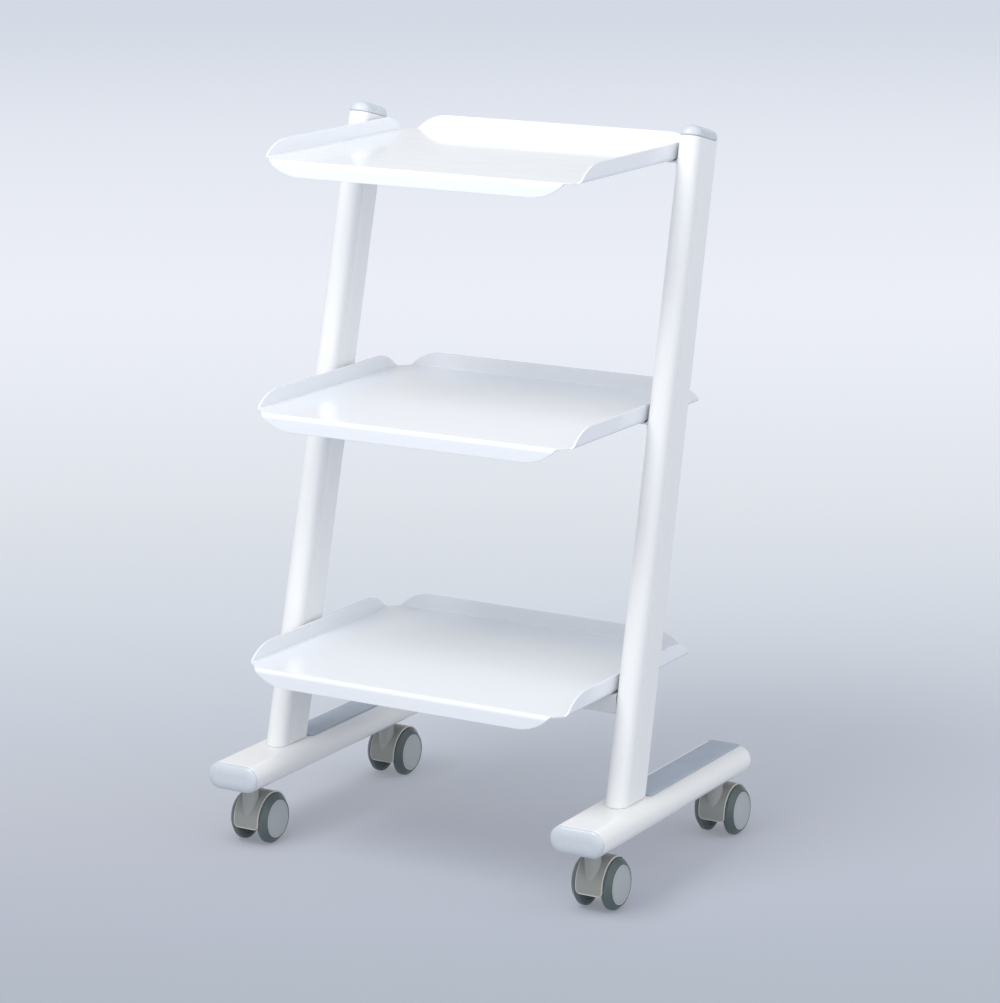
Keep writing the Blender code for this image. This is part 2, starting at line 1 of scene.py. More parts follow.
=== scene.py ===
# Rolling salon trolley, visual model.  Metres, +Z up, front of the trolley to -Y.
import json
import bpy
import bmesh
from math import sin, cos, pi, radians, sqrt, atan, atan2, hypot, degrees
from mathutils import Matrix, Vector


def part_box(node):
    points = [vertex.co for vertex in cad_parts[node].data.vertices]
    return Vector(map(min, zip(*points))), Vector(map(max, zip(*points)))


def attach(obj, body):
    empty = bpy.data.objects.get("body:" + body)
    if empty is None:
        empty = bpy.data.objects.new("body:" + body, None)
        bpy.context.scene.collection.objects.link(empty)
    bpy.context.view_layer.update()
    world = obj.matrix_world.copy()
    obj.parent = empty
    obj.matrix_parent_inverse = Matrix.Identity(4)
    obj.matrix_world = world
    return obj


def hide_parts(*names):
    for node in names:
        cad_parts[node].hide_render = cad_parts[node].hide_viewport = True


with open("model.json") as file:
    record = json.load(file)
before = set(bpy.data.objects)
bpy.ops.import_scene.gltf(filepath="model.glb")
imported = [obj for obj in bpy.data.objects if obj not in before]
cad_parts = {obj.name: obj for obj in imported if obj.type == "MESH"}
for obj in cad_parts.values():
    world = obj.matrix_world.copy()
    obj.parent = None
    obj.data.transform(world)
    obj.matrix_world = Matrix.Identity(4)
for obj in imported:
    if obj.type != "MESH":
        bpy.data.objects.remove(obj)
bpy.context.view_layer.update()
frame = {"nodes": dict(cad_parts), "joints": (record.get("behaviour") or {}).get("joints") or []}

NODES, JOINTS = frame["nodes"], {j["name"]: j for j in frame["joints"]}

# ---------------------------------------------------------------- dimensions from the frame
GAP = 0.0003
_lo, _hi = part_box("base_rail_right")
RAIL_X = (_lo.x + _hi.x) / 2
RAIL_W, RAIL_H = _hi.x - _lo.x, _hi.z - _lo.z
RAIL_TOP, RAIL_FRONT, RAIL_BACK = _hi.z, _lo.y, _hi.y
RAIL_MID = RAIL_TOP - RAIL_H / 2
RAIL_WALL = 0.0022
FRONT_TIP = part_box("front_cap_right")[0].y
REAR_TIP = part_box("rear_cap_right")[1].y
_lo, _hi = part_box("cover_strip_right")
STRIP_HALF, STRIP_Y0, STRIP_Y1 = (_hi.x - _lo.x) / 2, _lo.y, _hi.y
STRIP_Z0, STRIP_Z1 = _lo.z, _hi.z

LEAN_SLOPE = 0.25
_lo, _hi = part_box("post_right")
POST_W = _hi.x - _lo.x
POST_D = 0.0475
POST_WALL = 0.0022
POST_CORNER = 0.0030
GROOVE_DEPTH = 0.0006
POST_BOTTOM = _lo.z
LEAN = atan(LEAN_SLOPE)
UP = Vector((0, sin(LEAN), cos(LEAN)))
ACROSS = Vector((0, cos(LEAN), -sin(LEAN)))
POST_TOP_REAR_Z = _hi.z - POST_D * sin(LEAN) + 0.0
TOP_REAR = Vector((0, _hi.y, POST_TOP_REAR_Z))
CAP_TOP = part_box("post_cap_right")[1].z

SHEET_T = 0.0018
BEND_R = 0.0025
RIM_H = 0.0156
SKIRT_H = 0.0164
CORNER_CUT = 0.0080
END_CURVE = 0.0380
TRAYS = {}
for _n in ("tray_bottom", "tray_middle", "tray_top"):
    _lo, _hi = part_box(_n)
    TRAYS[_n] = (_lo.y, _hi.y, _hi.z - RIM_H, _hi.x)

_lo, _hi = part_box("cross_rail")
CROSS = (_lo.copy(), _hi.copy())

WHEEL_R = JOINTS["spin_front_right_l"]["pos_m"][2]
HOOD_R = 0.0263
HOOD_R_IN = 0.0250
BOSS_R = 0.0082
STEM_R = 0.0040
AXLE_R = 0.0030
WEB_HALF = 0.0055
HOOD_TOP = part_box("caster_front_right_hood")[1].z


# ---------------------------------------------------------------- node materials
class Mat:
    """Small helper that builds a node material around one Principled BSDF."""

    def __init__(self, name):
        self.m = bpy.data.materials.new(name)
        self.m.use_nodes = True
        self.nt = self.m.node_tree
        self.bsdf = self.nt.nodes["Principled BSDF"]
        self.co = self.add("ShaderNodeTexCoord").outputs["Object"]
        self.x = -300

    def add(self, kind, **props):
        n = self.nt.nodes.new(kind)
        for k, v in props.items():
            setattr(n, k, v)
        return n

    def put(self, socket, value):
        if hasattr(value, "is_output") or isinstance(value, bpy.types.NodeSocket):
            self.nt.links.new(value, socket)
        else:
            socket.default_value = value

    def scaled(self, scale):
        n = self.add("ShaderNodeMapping")
        self.put(n.inputs["Vector"], self.co)
        n.inputs["Scale"].default_value = scale
        return n.outputs["Vector"]

    def noise(self, scale, detail=3.0, rough=0.55, stretch=None):
        n = self.add("ShaderNodeTexNoise")
        self.put(n.inputs["Vector"], self.scaled(stretch) if stretch else self.co)
        n.inputs["Scale"].default_value = scale
        n.inputs["Detail"].default_value = detail
        n.inputs["Roughness"].default_value = rough
        return n.outputs["Fac"]

    def cells(self, scale):
        n = self.add("ShaderNodeTexVoronoi")
        self.put(n.inputs["Vector"], self.co)
        n.inputs["Scale"].default_value = scale
        return n.outputs["Distance"]

    def ramp(self, fac, lo, hi, a, b, smooth=True):
        n = self.add("ShaderNodeMapRange")
        n.interpolation_type = "SMOOTHSTEP" if smooth else "LINEAR"
        self.put(n.inputs["Value"], fac)
        n.inputs["From Min"].default_value = lo
        n.inputs["From Max"].default_value = hi
        n.inputs["To Min"].default_value = a
        n.inputs["To Max"].default_value = b
        return n.outputs["Result"]

    def math(self, op, a, b=0.0):
        n = self.add("ShaderNodeMath", operation=op)
        self.put(n.inputs[0], a)
        self.put(n.inputs[1], b)
        return n.outputs[0]

    def mix(self, fac, a, b, kind="MIX"):
        n = self.add("ShaderNodeMix", data_type="RGBA", blend_type=kind)
        self.put(n.inputs["Factor"], fac)
        self.put(n.inputs["A"], a if not isinstance(a, tuple) else (*a[:3], 1.0))
        self.put(n.inputs["B"], b if not isinstance(b, tuple) else (*b[:3], 1.0))
        return n.outputs["Result"]

    def edge(self, radius, gain=6.0):
        """1 on edges sharper than the radius, 0 on flats."""
        bev = self.add("ShaderNodeBevel", samples=4)
        bev.inputs["Radius"].default_value = radius
        geo = self.add("ShaderNodeNewGeometry")
        dot = self.add("ShaderNodeVectorMath", operation="DOT_PRODUCT")
        self.put(dot.inputs[0], bev.outputs["Normal"])
        self.put(dot.inputs[1], geo.outputs["Normal"])
        return self.ramp(dot.outputs["Value"], 1.0 - 1.0 / gain, 0.995, 1.0, 0.0)

    def axis(self, which):
        n = self.add("ShaderNodeSeparateXYZ")
        self.put(n.inputs["Vector"], self.co)
        return n.outputs[which]

    def radial(self):
        """Distance from the X axis of the object."""
        n = self.add("ShaderNodeSeparateXYZ")
        self.put(n.inputs["Vector"], self.co)
        yy = self.math("MULTIPLY", n.outputs["Y"], n.outputs["Y"])
        zz = self.math("MULTIPLY", n.outputs["Z"], n.outputs["Z"])
        return self.math("SQRT", self.math("ADD", yy, zz))

    def bump(self, height, strength, distance, chain=None):
        n = self.add("ShaderNodeBump")
        n.inputs["Strength"].default_value = strength
        n.inputs["Distance"].default_value = distance
        self.put(n.inputs["Height"], height)
        if chain is not None:
            self.put(n.inputs["Normal"], chain)
        return n.outputs["Normal"]

    def done(self, color, rough, metal=0.0, normal=None, coat=0.0, coat_rough=0.1,
             ior=1.5, sheen=0.0, spec=0.5, view=(0.8, 0.8, 0.8)):
        i = self.bsdf.inputs
        self.put(i["Base Color"], color if not isinstance(color, tuple) else (*color, 1.0))
        self.put(i["Roughness"], rough)
        self.put(i["Metallic"], metal)
        i["IOR"].default_value = ior
        i["Specular IOR Level"].default_value = spec
        self.put(i["Coat Weight"], coat)
        self.put(i["Coat Roughness"], coat_rough)
        i["Sheen Weight"].default_value = sheen
        if normal is not None:
            self.put(i["Normal"], normal)
        self.m.diffuse_color = (*view, 1.0)
        return self.m


def white_extrusion():
    m = Mat("white_coated_extrusion")
    cloud = m.noise(7.0, 2.0)
    streak = m.noise(1.0, 3.0, 0.6, stretch=(900.0, 900.0, 14.0))
    fine = m.noise(520.0, 2.0, 0.5)
    # darkened on sharp edges and in the groove creases: wear on the outer edges, painted shade in the grooves
    edge_wear_and_painted_light = m.math("MULTIPLY", m.edge(0.0007), m.ramp(m.noise(60.0, 3.0), 0.15, 0.85, 0.35, 0.65))
    col = m.mix(cloud, (0.856, 0.860, 0.866), (0.880, 0.882, 0.884))
    col = m.mix(m.ramp(streak, 0.3, 0.7, 0.0, 0.02), col, (0.815, 0.822, 0.838))
    col = m.mix(m.math("MULTIPLY", edge_wear_and_painted_light, 0.25), col, (0.760, 0.765, 0.770))
    rough = m.math("ADD", m.ramp(cloud, 0.0, 1.0, 0.265, 0.305), m.math("MULTIPLY", edge_wear_and_painted_light, 0.05))
    nrm = m.bump(fine, 0.22, 0.00005)
    nrm = m.bump(m.noise(14.0, 1.0, 0.4), 0.02, 0.0002, nrm)
    return m.done(col, rough, normal=nrm, coat=0.25, coat_rough=0.16, view=(.87, .88, .90))


def rail_extrusion():
    m = Mat("white_coated_rail")
    cloud = m.noise(7.0, 2.0)
    streak = m.noise(1.0, 3.0, 0.6, stretch=(900.0, 14.0, 900.0))
    fine = m.noise(520.0, 2.0, 0.5)
    edge_wear_and_painted_light = m.math("MULTIPLY", m.edge(0.0007), m.ramp(m.noise(60.0, 3.0), 0.15, 0.85, 0.35, 0.65))
    scuff = m.ramp(m.noise(34.0, 6.0, 0.7, stretch=(1.0, 0.35, 1.0)), 0.60, 0.78, 0.0, 0.5)
    col = m.mix(cloud, (0.848, 0.846, 0.838), (0.876, 0.872, 0.858))
    col = m.mix(m.ramp(streak, 0.3, 0.7, 0.0, 0.03), col, (0.810, 0.812, 0.812))
    col = m.mix(m.math("MULTIPLY", edge_wear_and_painted_light, 0.25), col, (0.760, 0.765, 0.770))
    rough = m.math("ADD", m.ramp(cloud, 0.0, 1.0, 0.265, 0.305), m.math("MULTIPLY", scuff, 0.10))
    nrm = m.bump(fine, 0.22, 0.00005)
    nrm = m.bump(m.noise(14.0, 1.0, 0.4), 0.02, 0.0002, nrm)
    return m.done(col, rough, normal=nrm, coat=0.25, coat_rough=0.16, view=(.87, .88, .90))


def lacquered_sheet():
    m = Mat("white_lacquered_sheet")
    cloud = m.noise(5.0, 2.0)
    peel = m.noise(300.0, 2.0, 0.45)
    wave = m.noise(9.0, 1.0, 0.4)
    wipe = m.noise(16.0, 5.0, 0.65, stretch=(1.0, 3.2, 1.0))
    # sharp sheet edges lightened: a painted highlight along the cut edges, with some wear
    edge_wear_and_painted_light = m.edge(0.0006)
    col = m.mix(cloud, (0.840, 0.864, 0.904), (0.862, 0.882, 0.914))
    col = m.mix(m.math("MULTIPLY", edge_wear_and_painted_light, 0.7), col, (0.925, 0.925, 0.920))
    rough = m.ramp(wipe, 0.35, 0.75, 0.17, 0.21)
    nrm = m.bump(peel, 0.10, 0.00004)
    nrm = m.bump(wave, 0.25, 0.0006, nrm)
    return m.done(col, rough, normal=nrm, coat=0.55,
                  coat_rough=m.ramp(wipe, 0.35, 0.75, 0.045, 0.065), view=(.90, .91, .93))


def moulded(name, a, b, rough=(0.34, 0.46), grain=1500.0, depth=0.00006, edge_wear_and_highlight_col=None,
            coat=0.0, strength=0.35):
    m = Mat(name)
    cloud = m.noise(22.0, 3.0)
    spark = m.noise(grain, 2.0, 0.6)
    pits = m.cells(grain * 0.6)
    edge_wear_and_painted_light = m.edge(0.0006)
    col = m.mix(cloud, a, b)
    col = m.mix(m.ramp(spark, 0.35, 0.75, 0.0, 0.20), col, tuple(c * 0.90 for c in a))
    # edges lightened towards this colour: a painted highlight along the edges, with some wear
    light = edge_wear_and_highlight_col or tuple(min(1.0, c * 1.18 + 0.02) for c in b)
    col = m.mix(m.math("MULTIPLY", edge_wear_and_painted_light, 0.55), col, light)
    r = m.ramp(m.noise(60.0, 4.0, 0.6), 0.3, 0.7, rough[0], rough[1])
    nrm = m.bump(spark, strength, depth)
    nrm = m.bump(pits, strength * 0.5, depth, nrm)
    return m.done(col, r, normal=nrm, coat=coat, view=a)


def tyre_rubber():
    m = Mat("tyre_slate_rubber")
    r = m.radial()
    cloud = m.noise(90.0, 4.0, 0.6)
    grain = m.noise(1900.0, 2.0, 0.6)
    edge_wear_and_painted_light = m.edge(0.0007)
    col = m.mix(cloud, (0.074, 0.104, 0.106), (0.102, 0.138, 0.138))
    tread = m.math("MULTIPLY", m.ramp(r, 0.0237, 0.0243, 0.0, 1.0),
                   m.ramp(m.noise(150.0, 5.0, 0.7), 0.38, 0.68, 0.05, 0.50))
    col = m.mix(tread, col, (0.165, 0.190, 0.185))
    col = m.mix(m.math("MULTIPLY", edge_wear_and_painted_light, 0.35), col, (0.150, 0.185, 0.185))
    rough = m.math("ADD", m.ramp(cloud, 0.3, 0.7, 0.28, 0.40), m.math("MULTIPLY", tread, 0.22))
    nrm = m.bump(grain, 0.35, 0.00005)
    nrm = m.bump(m.noise(240.0, 3.0), 0.18, 0.00008, nrm)
    return m.done(col, rough, normal=nrm, view=(.06, .09, .09))


def disc_plastic():
    m = Mat("wheel_disc_plastic")
    r = m.radial()
    cloud = m.noise(60.0, 3.0)
    grain = m.noise(1500.0, 2.0, 0.6)
    col = m.mix(cloud, (0.385, 0.415, 0.425), (0.440, 0.465, 0.472))
    col = m.mix(m.ramp(r, 0.0140, 0.0174, 0.0, 0.30), col, (0.300, 0.335, 0.350))
    col = m.mix(m.ramp(r, 0.01755, 0.01780, 0.0, 0.85), col, (0.565, 0.560, 0.530))
    rings = m.math("SINE", m.math("MULTIPLY", r, 9000.0))
    rough = m.ramp(cloud, 0.3, 0.7, 0.33, 0.44)
    nrm = m.bump(grain, 0.30, 0.00005)
    nrm = m.bump(rings, 0.05, 0.00002, nrm)
    return m.done(col, rough, normal=nrm, view=(.36, .39, .41))


def plated_steel():
    m = Mat("zinc_plated_steel")
    cloud = m.noise(120.0, 4.0, 0.6)
    flake = m.cells(900.0)
    edge_wear_and_painted_light = m.edge(0.0004)
    col = m.mix(cloud, (0.55, 0.57, 0.60), (0.70, 0.70, 0.70))
    col = m.mix(m.math("MULTIPLY", edge_wear_and_painted_light, 0.5), col, (0.80, 0.80, 0.79))
    rough = m.ramp(cloud, 0.3, 0.7, 0.24, 0.42)
    nrm = m.bump(flake, 0.12, 0.00003)
    return m.done(col, rough, metal=1.0, normal=nrm, view=(.6, .6, .62))


M_POST = white_extrusion()
M_RAIL = rail_extrusion()
M_SHEET = lacquered_sheet()
M_BLUE = moulded("blue_grey_plastic", (0.590, 0.632, 0.692), (0.640, 0.675, 0.725),
                 rough=(0.22, 0.32), grain=1300.0, edge_wear_and_highlight_col=(0.74, 0.78, 0.84), coat=0.30)
# the strip is the cap plastic toned darker: painted shade from the post and trays above it
M_STRIP_PAINTED_SHADE = moulded("strip_plastic_painted_shade", (0.425, 0.485, 0.570), (0.475, 0.535, 0.620),
                  rough=(0.34, 0.46), grain=1100.0, edge_wear_and_highlight_col=(0.50, 0.56, 0.64))
M_CROSS = moulded("cross_rail_coat", (0.800, 0.805, 0.805), (0.835, 0.838, 0.838),
                  rough=(0.30, 0.40), grain=650.0, depth=0.00005, strength=0.22)
M_BRACKET = moulded("bracket_coat", (0.780, 0.790, 0.800), (0.820, 0.828, 0.835),
                    rough=(0.32, 0.44), grain=650.0, depth=0.00005, strength=0.22)
M_HOOD = moulded("caster_hood_plastic", (0.300, 0.308, 0.290), (0.350, 0.354, 0.332),
                 rough=(0.36, 0.48), grain=1500.0, depth=0.00005)
# lighter copy of the hood plastic for the sides of the stem boss: painted light on the boss
M_BOSS_PAINTED_LIGHT = moulded("caster_stem_boss_painted_light", (0.360, 0.366, 0.348), (0.410, 0.412, 0.390),
                rough=(0.30, 0.40), grain=1300.0, edge_wear_and_highlight_col=(0.520, 0.515, 0.480))
# lighter copy of the hood plastic for the lip bead: a painted highlight along the lip
M_LIP_PAINTED_HIGHLIGHT = moulded("caster_hood_lip_painted_highlight", (0.520, 0.500, 0.450), (0.590, 0.565, 0.510),
                rough=(0.34, 0.44), grain=1500.0, depth=0.00004)
M_NYLON = moulded("dark_nylon", (0.050, 0.050, 0.055), (0.070, 0.070, 0.075),
                  rough=(0.45, 0.6), grain=1300.0)
# dark copy for the inner side of the wheel disc: painted shade on the disc's inner face
M_DISC_INNER_SHADE = moulded("wheel_disc_inner_painted_shade", (0.090, 0.105, 0.108), (0.115, 0.130, 0.132),
                rough=(0.42, 0.55), grain=1300.0)
M_TYRE = tyre_rubber()
M_DISC = disc_plastic()
M_ZINC = plated_steel()


# ---------------------------------------------------------------- mesh helpers
def ring_skin(rings, start="cap", end="cap", loop=False):
    bm = bmesh.new()
    rows = [[bm.verts.new(p) for p in r] for r in rings]
    n = len(rows[0])
    last = len(rows) if loop else len(rows) - 1
    for k in range(last):
        a, b = rows[k], rows[(k + 1) % len(rows)]
        for i in range(n):
            j = (i + 1) % n
            bm.faces.new((a[i], a[j], b[j], b[i]))
    if not loop:
        if start == "cap":
            bm.faces.new(rows[0][::-1])
        if end == "cap":
            bm.faces.new(rows[-1])
    return bm


def to_object(name, bm, mats, origin=None):
    bmesh.ops.remove_doubles(bm, verts=bm.verts, dist=1e-7)
    bmesh.ops.recalc_face_normals(bm, faces=bm.faces)
    if origin is not None:
        bmesh.ops.translate(bm, verts=bm.verts, vec=-Vector(origin))
    me = bpy.data.meshes.new(name)
    bm.to_mesh(me)
    bm.free()
    for m in mats if isinstance(mats, (list, tuple)) else [mats]:
        me.materials.append(m)
    ob = bpy.data.objects.new(name, me)
    if origin is not None:
        ob.location = origin
    bpy.context.scene.collection.objects.link(ob)
    return ob


def soften(ob, angle=34.0):
    me = ob.data
    me.polygons.foreach_set("use_smooth", [True] * len(me.polygons))
    me.set_sharp_from_angle(angle=radians(angle))
    me.update()
    return ob


def boolean(ob, other, op):
    md = ob.modifiers.new("b", "BOOLEAN")
    md.operation, md.solver, md.object = op, "EXACT", other
    bpy.context.view_layer.update()
    me = bpy.data.meshes.new_from_object(
        ob.evaluated_get(bpy.context.evaluated_depsgraph_get()))
    ob.modifiers.remove(md)
    old, ob.data = ob.data, me
    bpy.data.meshes.remove(old)
    om = other.data
    bpy.data.objects.remove(other, do_unlink=True)
    bpy.data.meshes.remove(om)
    return ob


def clean(ob, dist=1e-5):
    bm = bmesh.new()
    bm.from_mesh(ob.data)
    bmesh.ops.remove_doubles(bm, verts=bm.verts, dist=dist)
    bmesh.ops.recalc_face_normals(bm, faces=bm.faces)
    bm.to_mesh(ob.data)
    bm.free()
    return ob


def place(ob, body, nodes, angle=34.0):
    soften(ob, angle)
    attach(ob, body)
    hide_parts(*nodes)
    return ob


def bar(centre, axis, r, length, seg=32):
    c, rings = Vector(centre), []
    for h in (-length / 2, length / 2):
        ring = []
        for i in range(seg):
            a = 2 * pi * (i + 0.5) / seg
            u, v = r * cos(a), r * sin(a)
            ring.append(c + {"X": Vector((h, u, v)), "Y": Vector((u, h, v)),
                             "Z": Vector((u, v, h))}[axis])
        rings.append(ring)
    return to_object("cut", ring_skin(rings), M_HOOD)


def fillet(pts, seg=5):
    """Closed polyline of (a, b, radius) with each corner rounded by its radius."""
    out, n = [], len(pts)
    for i, (x, y, r) in enumerate(pts):
        if r <= 0:
            out.append((x, y))
            continue
        p = Vector((x, y))
        a = (Vector(pts[i - 1][:2]) - p)
        b = (Vector(pts[(i + 1) % n][:2]) - p)
        ang = a.angle(b)
        cut = min(r / max(1e-6, sin(ang / 2) / cos(ang / 2)), a.length * 0.49, b.length * 0.49)
        rr = cut * sin(ang / 2) / cos(ang / 2)
        a.normalize(), b.normalize()
        mid = p + (a + b).normalized() * (rr / sin(ang / 2))
        s, e = p + a * cut - mid, p + b * cut - mid
        a0, a1 = atan2(s.y, s.x), atan2(e.y, e.x)
        d = (a1 - a0 + pi) % (2 * pi) - pi
        for k in range(seg + 1):
            t = a0 + d * k / seg
            out.append((mid.x + rr * cos(t), mid.y + rr * sin(t)))
    return out


def lathe(name, profile, centre, axis, seg, mats, origin=None, phase=0.0):
    """Turn a closed profile of (along, radius); radius 0 closes on the axis."""
    bm, c, cols = bmesh.new(), Vector(centre), []
    for h, r in profile:
        if r < 1e-9:
            cols.append([bm.verts.new(c + Vector({"X": (h, 0, 0), "Z": (0, 0, h)}[axis]))])
            continue
        ring = []
        for i in range(seg):
            a = 2 * pi * (i + phase) / seg
            u, v = r * cos(a), r * sin(a)
            ring.append(bm.verts.new(c + Vector({"X": (h, u, v), "Z": (u, v, h)}[axis])))
        cols.append(ring)
    closed = len(cols[0]) > 1 and len(cols[-1]) > 1
    for k in range(len(cols) if closed else len(cols) - 1):
        a, b = cols[k], cols[(k + 1) % len(cols)]
        for i in range(seg):
            j = (i + 1) % seg
            if len(a) == 1 and len(b) == 1:
                break
            if len(a) == 1:
                bm.faces.new((a[0], b[j], b[i]))
            elif len(b) == 1:
                bm.faces.new((a[i], a[j], b[0]))
            else:
                bm.faces.new((a[i], a[j], b[j], b[i]))
    return to_object(name, bm, mats, origin)


# ---------------------------------------------------------------- sections
def oval(width, height, inset=0.0, seg=26):
    """Flat-oval loop (x, z) with support points beside each end of the flats."""
    r, flat, pts = height / 2 - inset, width / 2 - height / 2, []
    for side in (1, -1):
        a0 = -pi / 2 if side == 1 else pi / 2
        pts.append((side * (flat - 0.0012), side * -r))
        for i in range(seg + 1):
            a = a0 + pi * i / seg
            pts.append((side * flat + r * cos(a), r * sin(a)))
        pts.append((side * (flat - 0.0012), side * r))
    return pts


def d_section(inset=0.0, grooves=0.0, seg=36, back=None):
    """Post section as (x, s): s runs 0 at the nose to POST_D at the back."""
    hw = POST_W / 2 - inset
    s0, s1 = inset, POST_D - (inset if back is None else back)
    cr = min(max(POST_CORNER - inset, 0.0004), hw * 0.6)
    pts = []
    for i in range(seg + 1):
        a = pi * i / seg
        pts.append((hw * cos(a), s0 + hw - hw * sin(a)))

    def groove(side):
        out = []
        for s in (0.0146, 0.0172):
            for ds, dx in ((-0.0011, 0), (-0.00055, 0), (-0.00025, 0.75), (0, 1),
                           (0.00025, 0.75), (0.00055, 0), (0.0011, 0)):
                out.append((side * (hw - dx * grooves), s + ds))
        return out

    sup = min(0.0012, hw * 0.2)
    pts += groove(-1)
    pts.append((-hw, s1 - cr - sup))
    for i in range(9):
        a = pi + (pi / 2) * i / 8
        pts.append((-hw + cr + cr * cos(a), s1 - cr - cr * sin(a)))
    pts.append((-hw + cr + sup, s1))
    pts.append((hw - cr - sup, s1))
    for i in range(9):
        a = (pi / 2) * (8 - i) / 8
        pts.append((hw - cr + cr * cos(a), s1 - cr + cr * sin(a)))
    pts.append((hw, s1 - cr - sup))
    pts += groove(1)[::-1]
    return pts


def post_point(x, s, t, cx):
    return Vector((cx + x, 0, 0)) + TOP_REAR + ACROSS * (s - POST_D) + UP * t


def post_point_at_z(x, s, z, cx):
    p = post_point(x, s, 0.0, cx)
    return p + UP * ((z - p.z) / UP.z)


def post_axis_y(z):
    return TOP_REAR.y + LEAN_SLOPE * (z - TOP_REAR.z) - POST_D / cos(LEAN) / 2


BOLT_Y = (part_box("post_bolt_right")[0].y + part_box("post_bolt_right")[1].y) / 2


# ---------------------------------------------------------------- rails and their caps
def rail(side, sx):
    cx = sx * RAIL_X
    f, b, w = RAIL_FRONT, RAIL_BACK, RAIL_WALL
    rings = [[Vector((cx + x, y, RAIL_MID + z)) for x, z in oval(RAIL_W, RAIL_H, ins)]
             for y, ins in ((f, 0.0004), (f + 0.0004, 0.0), (b - 0.0004, 0.0),
                            (b, 0.0004), (b, w), (f, w))]
    ob = to_object(f"base_rail_{side}_extrusion", ring_skin(rings, loop=True), M_RAIL)
    low = RAIL_TOP - RAIL_H
    for end in ("front", "rear"):
        y = JOINTS[f"swivel_{end}_{side}"]["pos_m"][1]
        boolean(ob, bar((cx, y, low), "Z", STEM_R + GAP, 0.010), "DIFFERENCE")
    boolean(ob, bar((cx, BOLT_Y, RAIL_MID), "Z", 0.0034, 0.040), "DIFFERENCE")
    clean(ob)
    return place(ob, "frame", [f"base_rail_{side}"])


def front_cap(side, sx):
    cx = sx * RAIL_X
    base, tip = RAIL_FRONT - GAP, FRONT_TIP
    steps = [(RAIL_FRONT + 0.012, RAIL_WALL + GAP + 0.0006),
             (RAIL_FRONT + 0.010, RAIL_WALL + GAP), (base, RAIL_WALL + GAP),
             (base, 0.00035), (base - 0.0003, 0.00005)]
    bulge, n = base - tip, 16
    for i in range(1, n + 1):
        a = (pi / 2) * i / n
        steps.append((base - 0.0003 - (bulge - 0.0003) * sin(a) ** 0.90,
                      0.0106 * (1 - cos(a)) ** 1.05 + 0.00005))
    rings = [[Vector((cx + x, y, RAIL_MID + z)) for x, z in oval(RAIL_W, RAIL_H, ins)]
             for y, ins in steps]
    ob = to_object(f"front_cap_{side}_moulding", ring_skin(rings), M_BLUE)
    return place(ob, "frame", [f"front_cap_{side}"], 50)


def rear_cap(side, sx):
    cx = sx * RAIL_X
    b, tip = RAIL_BACK, REAR_TIP
    t = tip - b
    steps = [(b - 0.012, RAIL_WALL + GAP + 0.0006), (b - 0.010, RAIL_WALL + GAP),
             (b + GAP, RAIL_WALL + GAP), (b + GAP, 0.0003), (b + GAP + 0.0002, 0.0)]
    for i in range(7):
        a = (pi / 2) * i / 6
        steps.append((b + t - 0.0015 + 0.0013 * sin(a), 0.0016 * (1 - cos(a))))
    for k in (1, 2, 3):
        steps.append((tip - 0.0002 + 0.0002 * k / 3, 0.0016 + 0.0102 * k / 3))
    rings = [[Vector((cx + x, y, RAIL_MID + z)) for x, z in oval(RAIL_W, RAIL_H, ins)]
             for y, ins in steps]
    ob = to_object(f"rear_cap_{side}_moulding", ring_skin(rings), M_BLUE)
    return place(ob, "frame", [f"rear_cap_{side}"], 50)


def cover_strip(side, sx):
    cx, hw, r = sx * RAIL_X, STRIP_HALF, 0.0016
    h = STRIP_Z1 - STRIP_Z0

    def loop(ins):
        rr, pts = max(r - ins, 0.0002), []
        for x, y, a0 in ((hw - ins - rr, STRIP_Y1 - ins - rr, 0), (-hw + ins + rr, STRIP_Y1 - ins - rr, 90),
                         (-hw + ins + rr, STRIP_Y0 + ins + rr, 180), (hw - ins - rr, STRIP_Y0 + ins + rr, 270)):
            for i in range(7):
                a = radians(a0 + 15 * i)
                pts.append((x + rr * cos(a), y + rr * sin(a)))
        return pts

    steps = [(0.0, 0.0002), (0.0002, 0.0), (h - 0.0007, 0.0)]
    for i in range(1, 6):
        a = (pi / 2) * i / 5
        steps.append((h - 0.0007 + 0.0006 * sin(a), 0.0007 * (1 - cos(a))))
    steps.append((h, 0.0016))
    steps.append((h, 0.0030))
    rings = [[Vector((cx + x, y, STRIP_Z0 + z)) for x, y in loop(ins)] for z, ins in steps]
    ob = to_object(f"cover_strip_{side}_moulding", ring_skin(rings), M_STRIP_PAINTED_SHADE)
    return place(ob, "frame", [f"cover_strip_{side}"], 40)


# ---------------------------------------------------------------- posts
SCREW_DROP = 0.0130


def bracket_y(tray):
    lo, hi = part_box(tray.replace("tray", "bracket") + "_right")
    return (lo.y + hi.y) / 2


def post(side, sx):
    cx = sx * RAIL_X
    outer, soft = d_section(0.0, GROOVE_DEPTH), d_section(0.00035, GROOVE_DEPTH)
    inner = d_section(POST_WALL, 0.0)
    rings = [[post_point_at_z(x, s, POST_BOTTOM, cx) for x, s in outer],
             [post_point(x, s, -0.00035, cx) for x, s in outer],
             [post_point(x, s, 0.0, cx) for x, s in soft],
             [post_point(x, s, 0.0, cx) for x, s in inner],
             [post_point_at_z(x, s, POST_BOTTOM, cx) for x, s in inner]]
    ob = to_object(f"post_{side}_extrusion", ring_skin(rings, loop=True), M_POST)
    for tray, (yf, yb, zt, xw) in TRAYS.items():
        boolean(ob, bar((cx - sx * POST_W / 2, bracket_y(tray), zt - SCREW_DROP),
                        "X", 0.0029, 0.010, 24), "DIFFERENCE")
    clean(ob)
    return place(ob, "frame", [f"post_{side}"], 24)


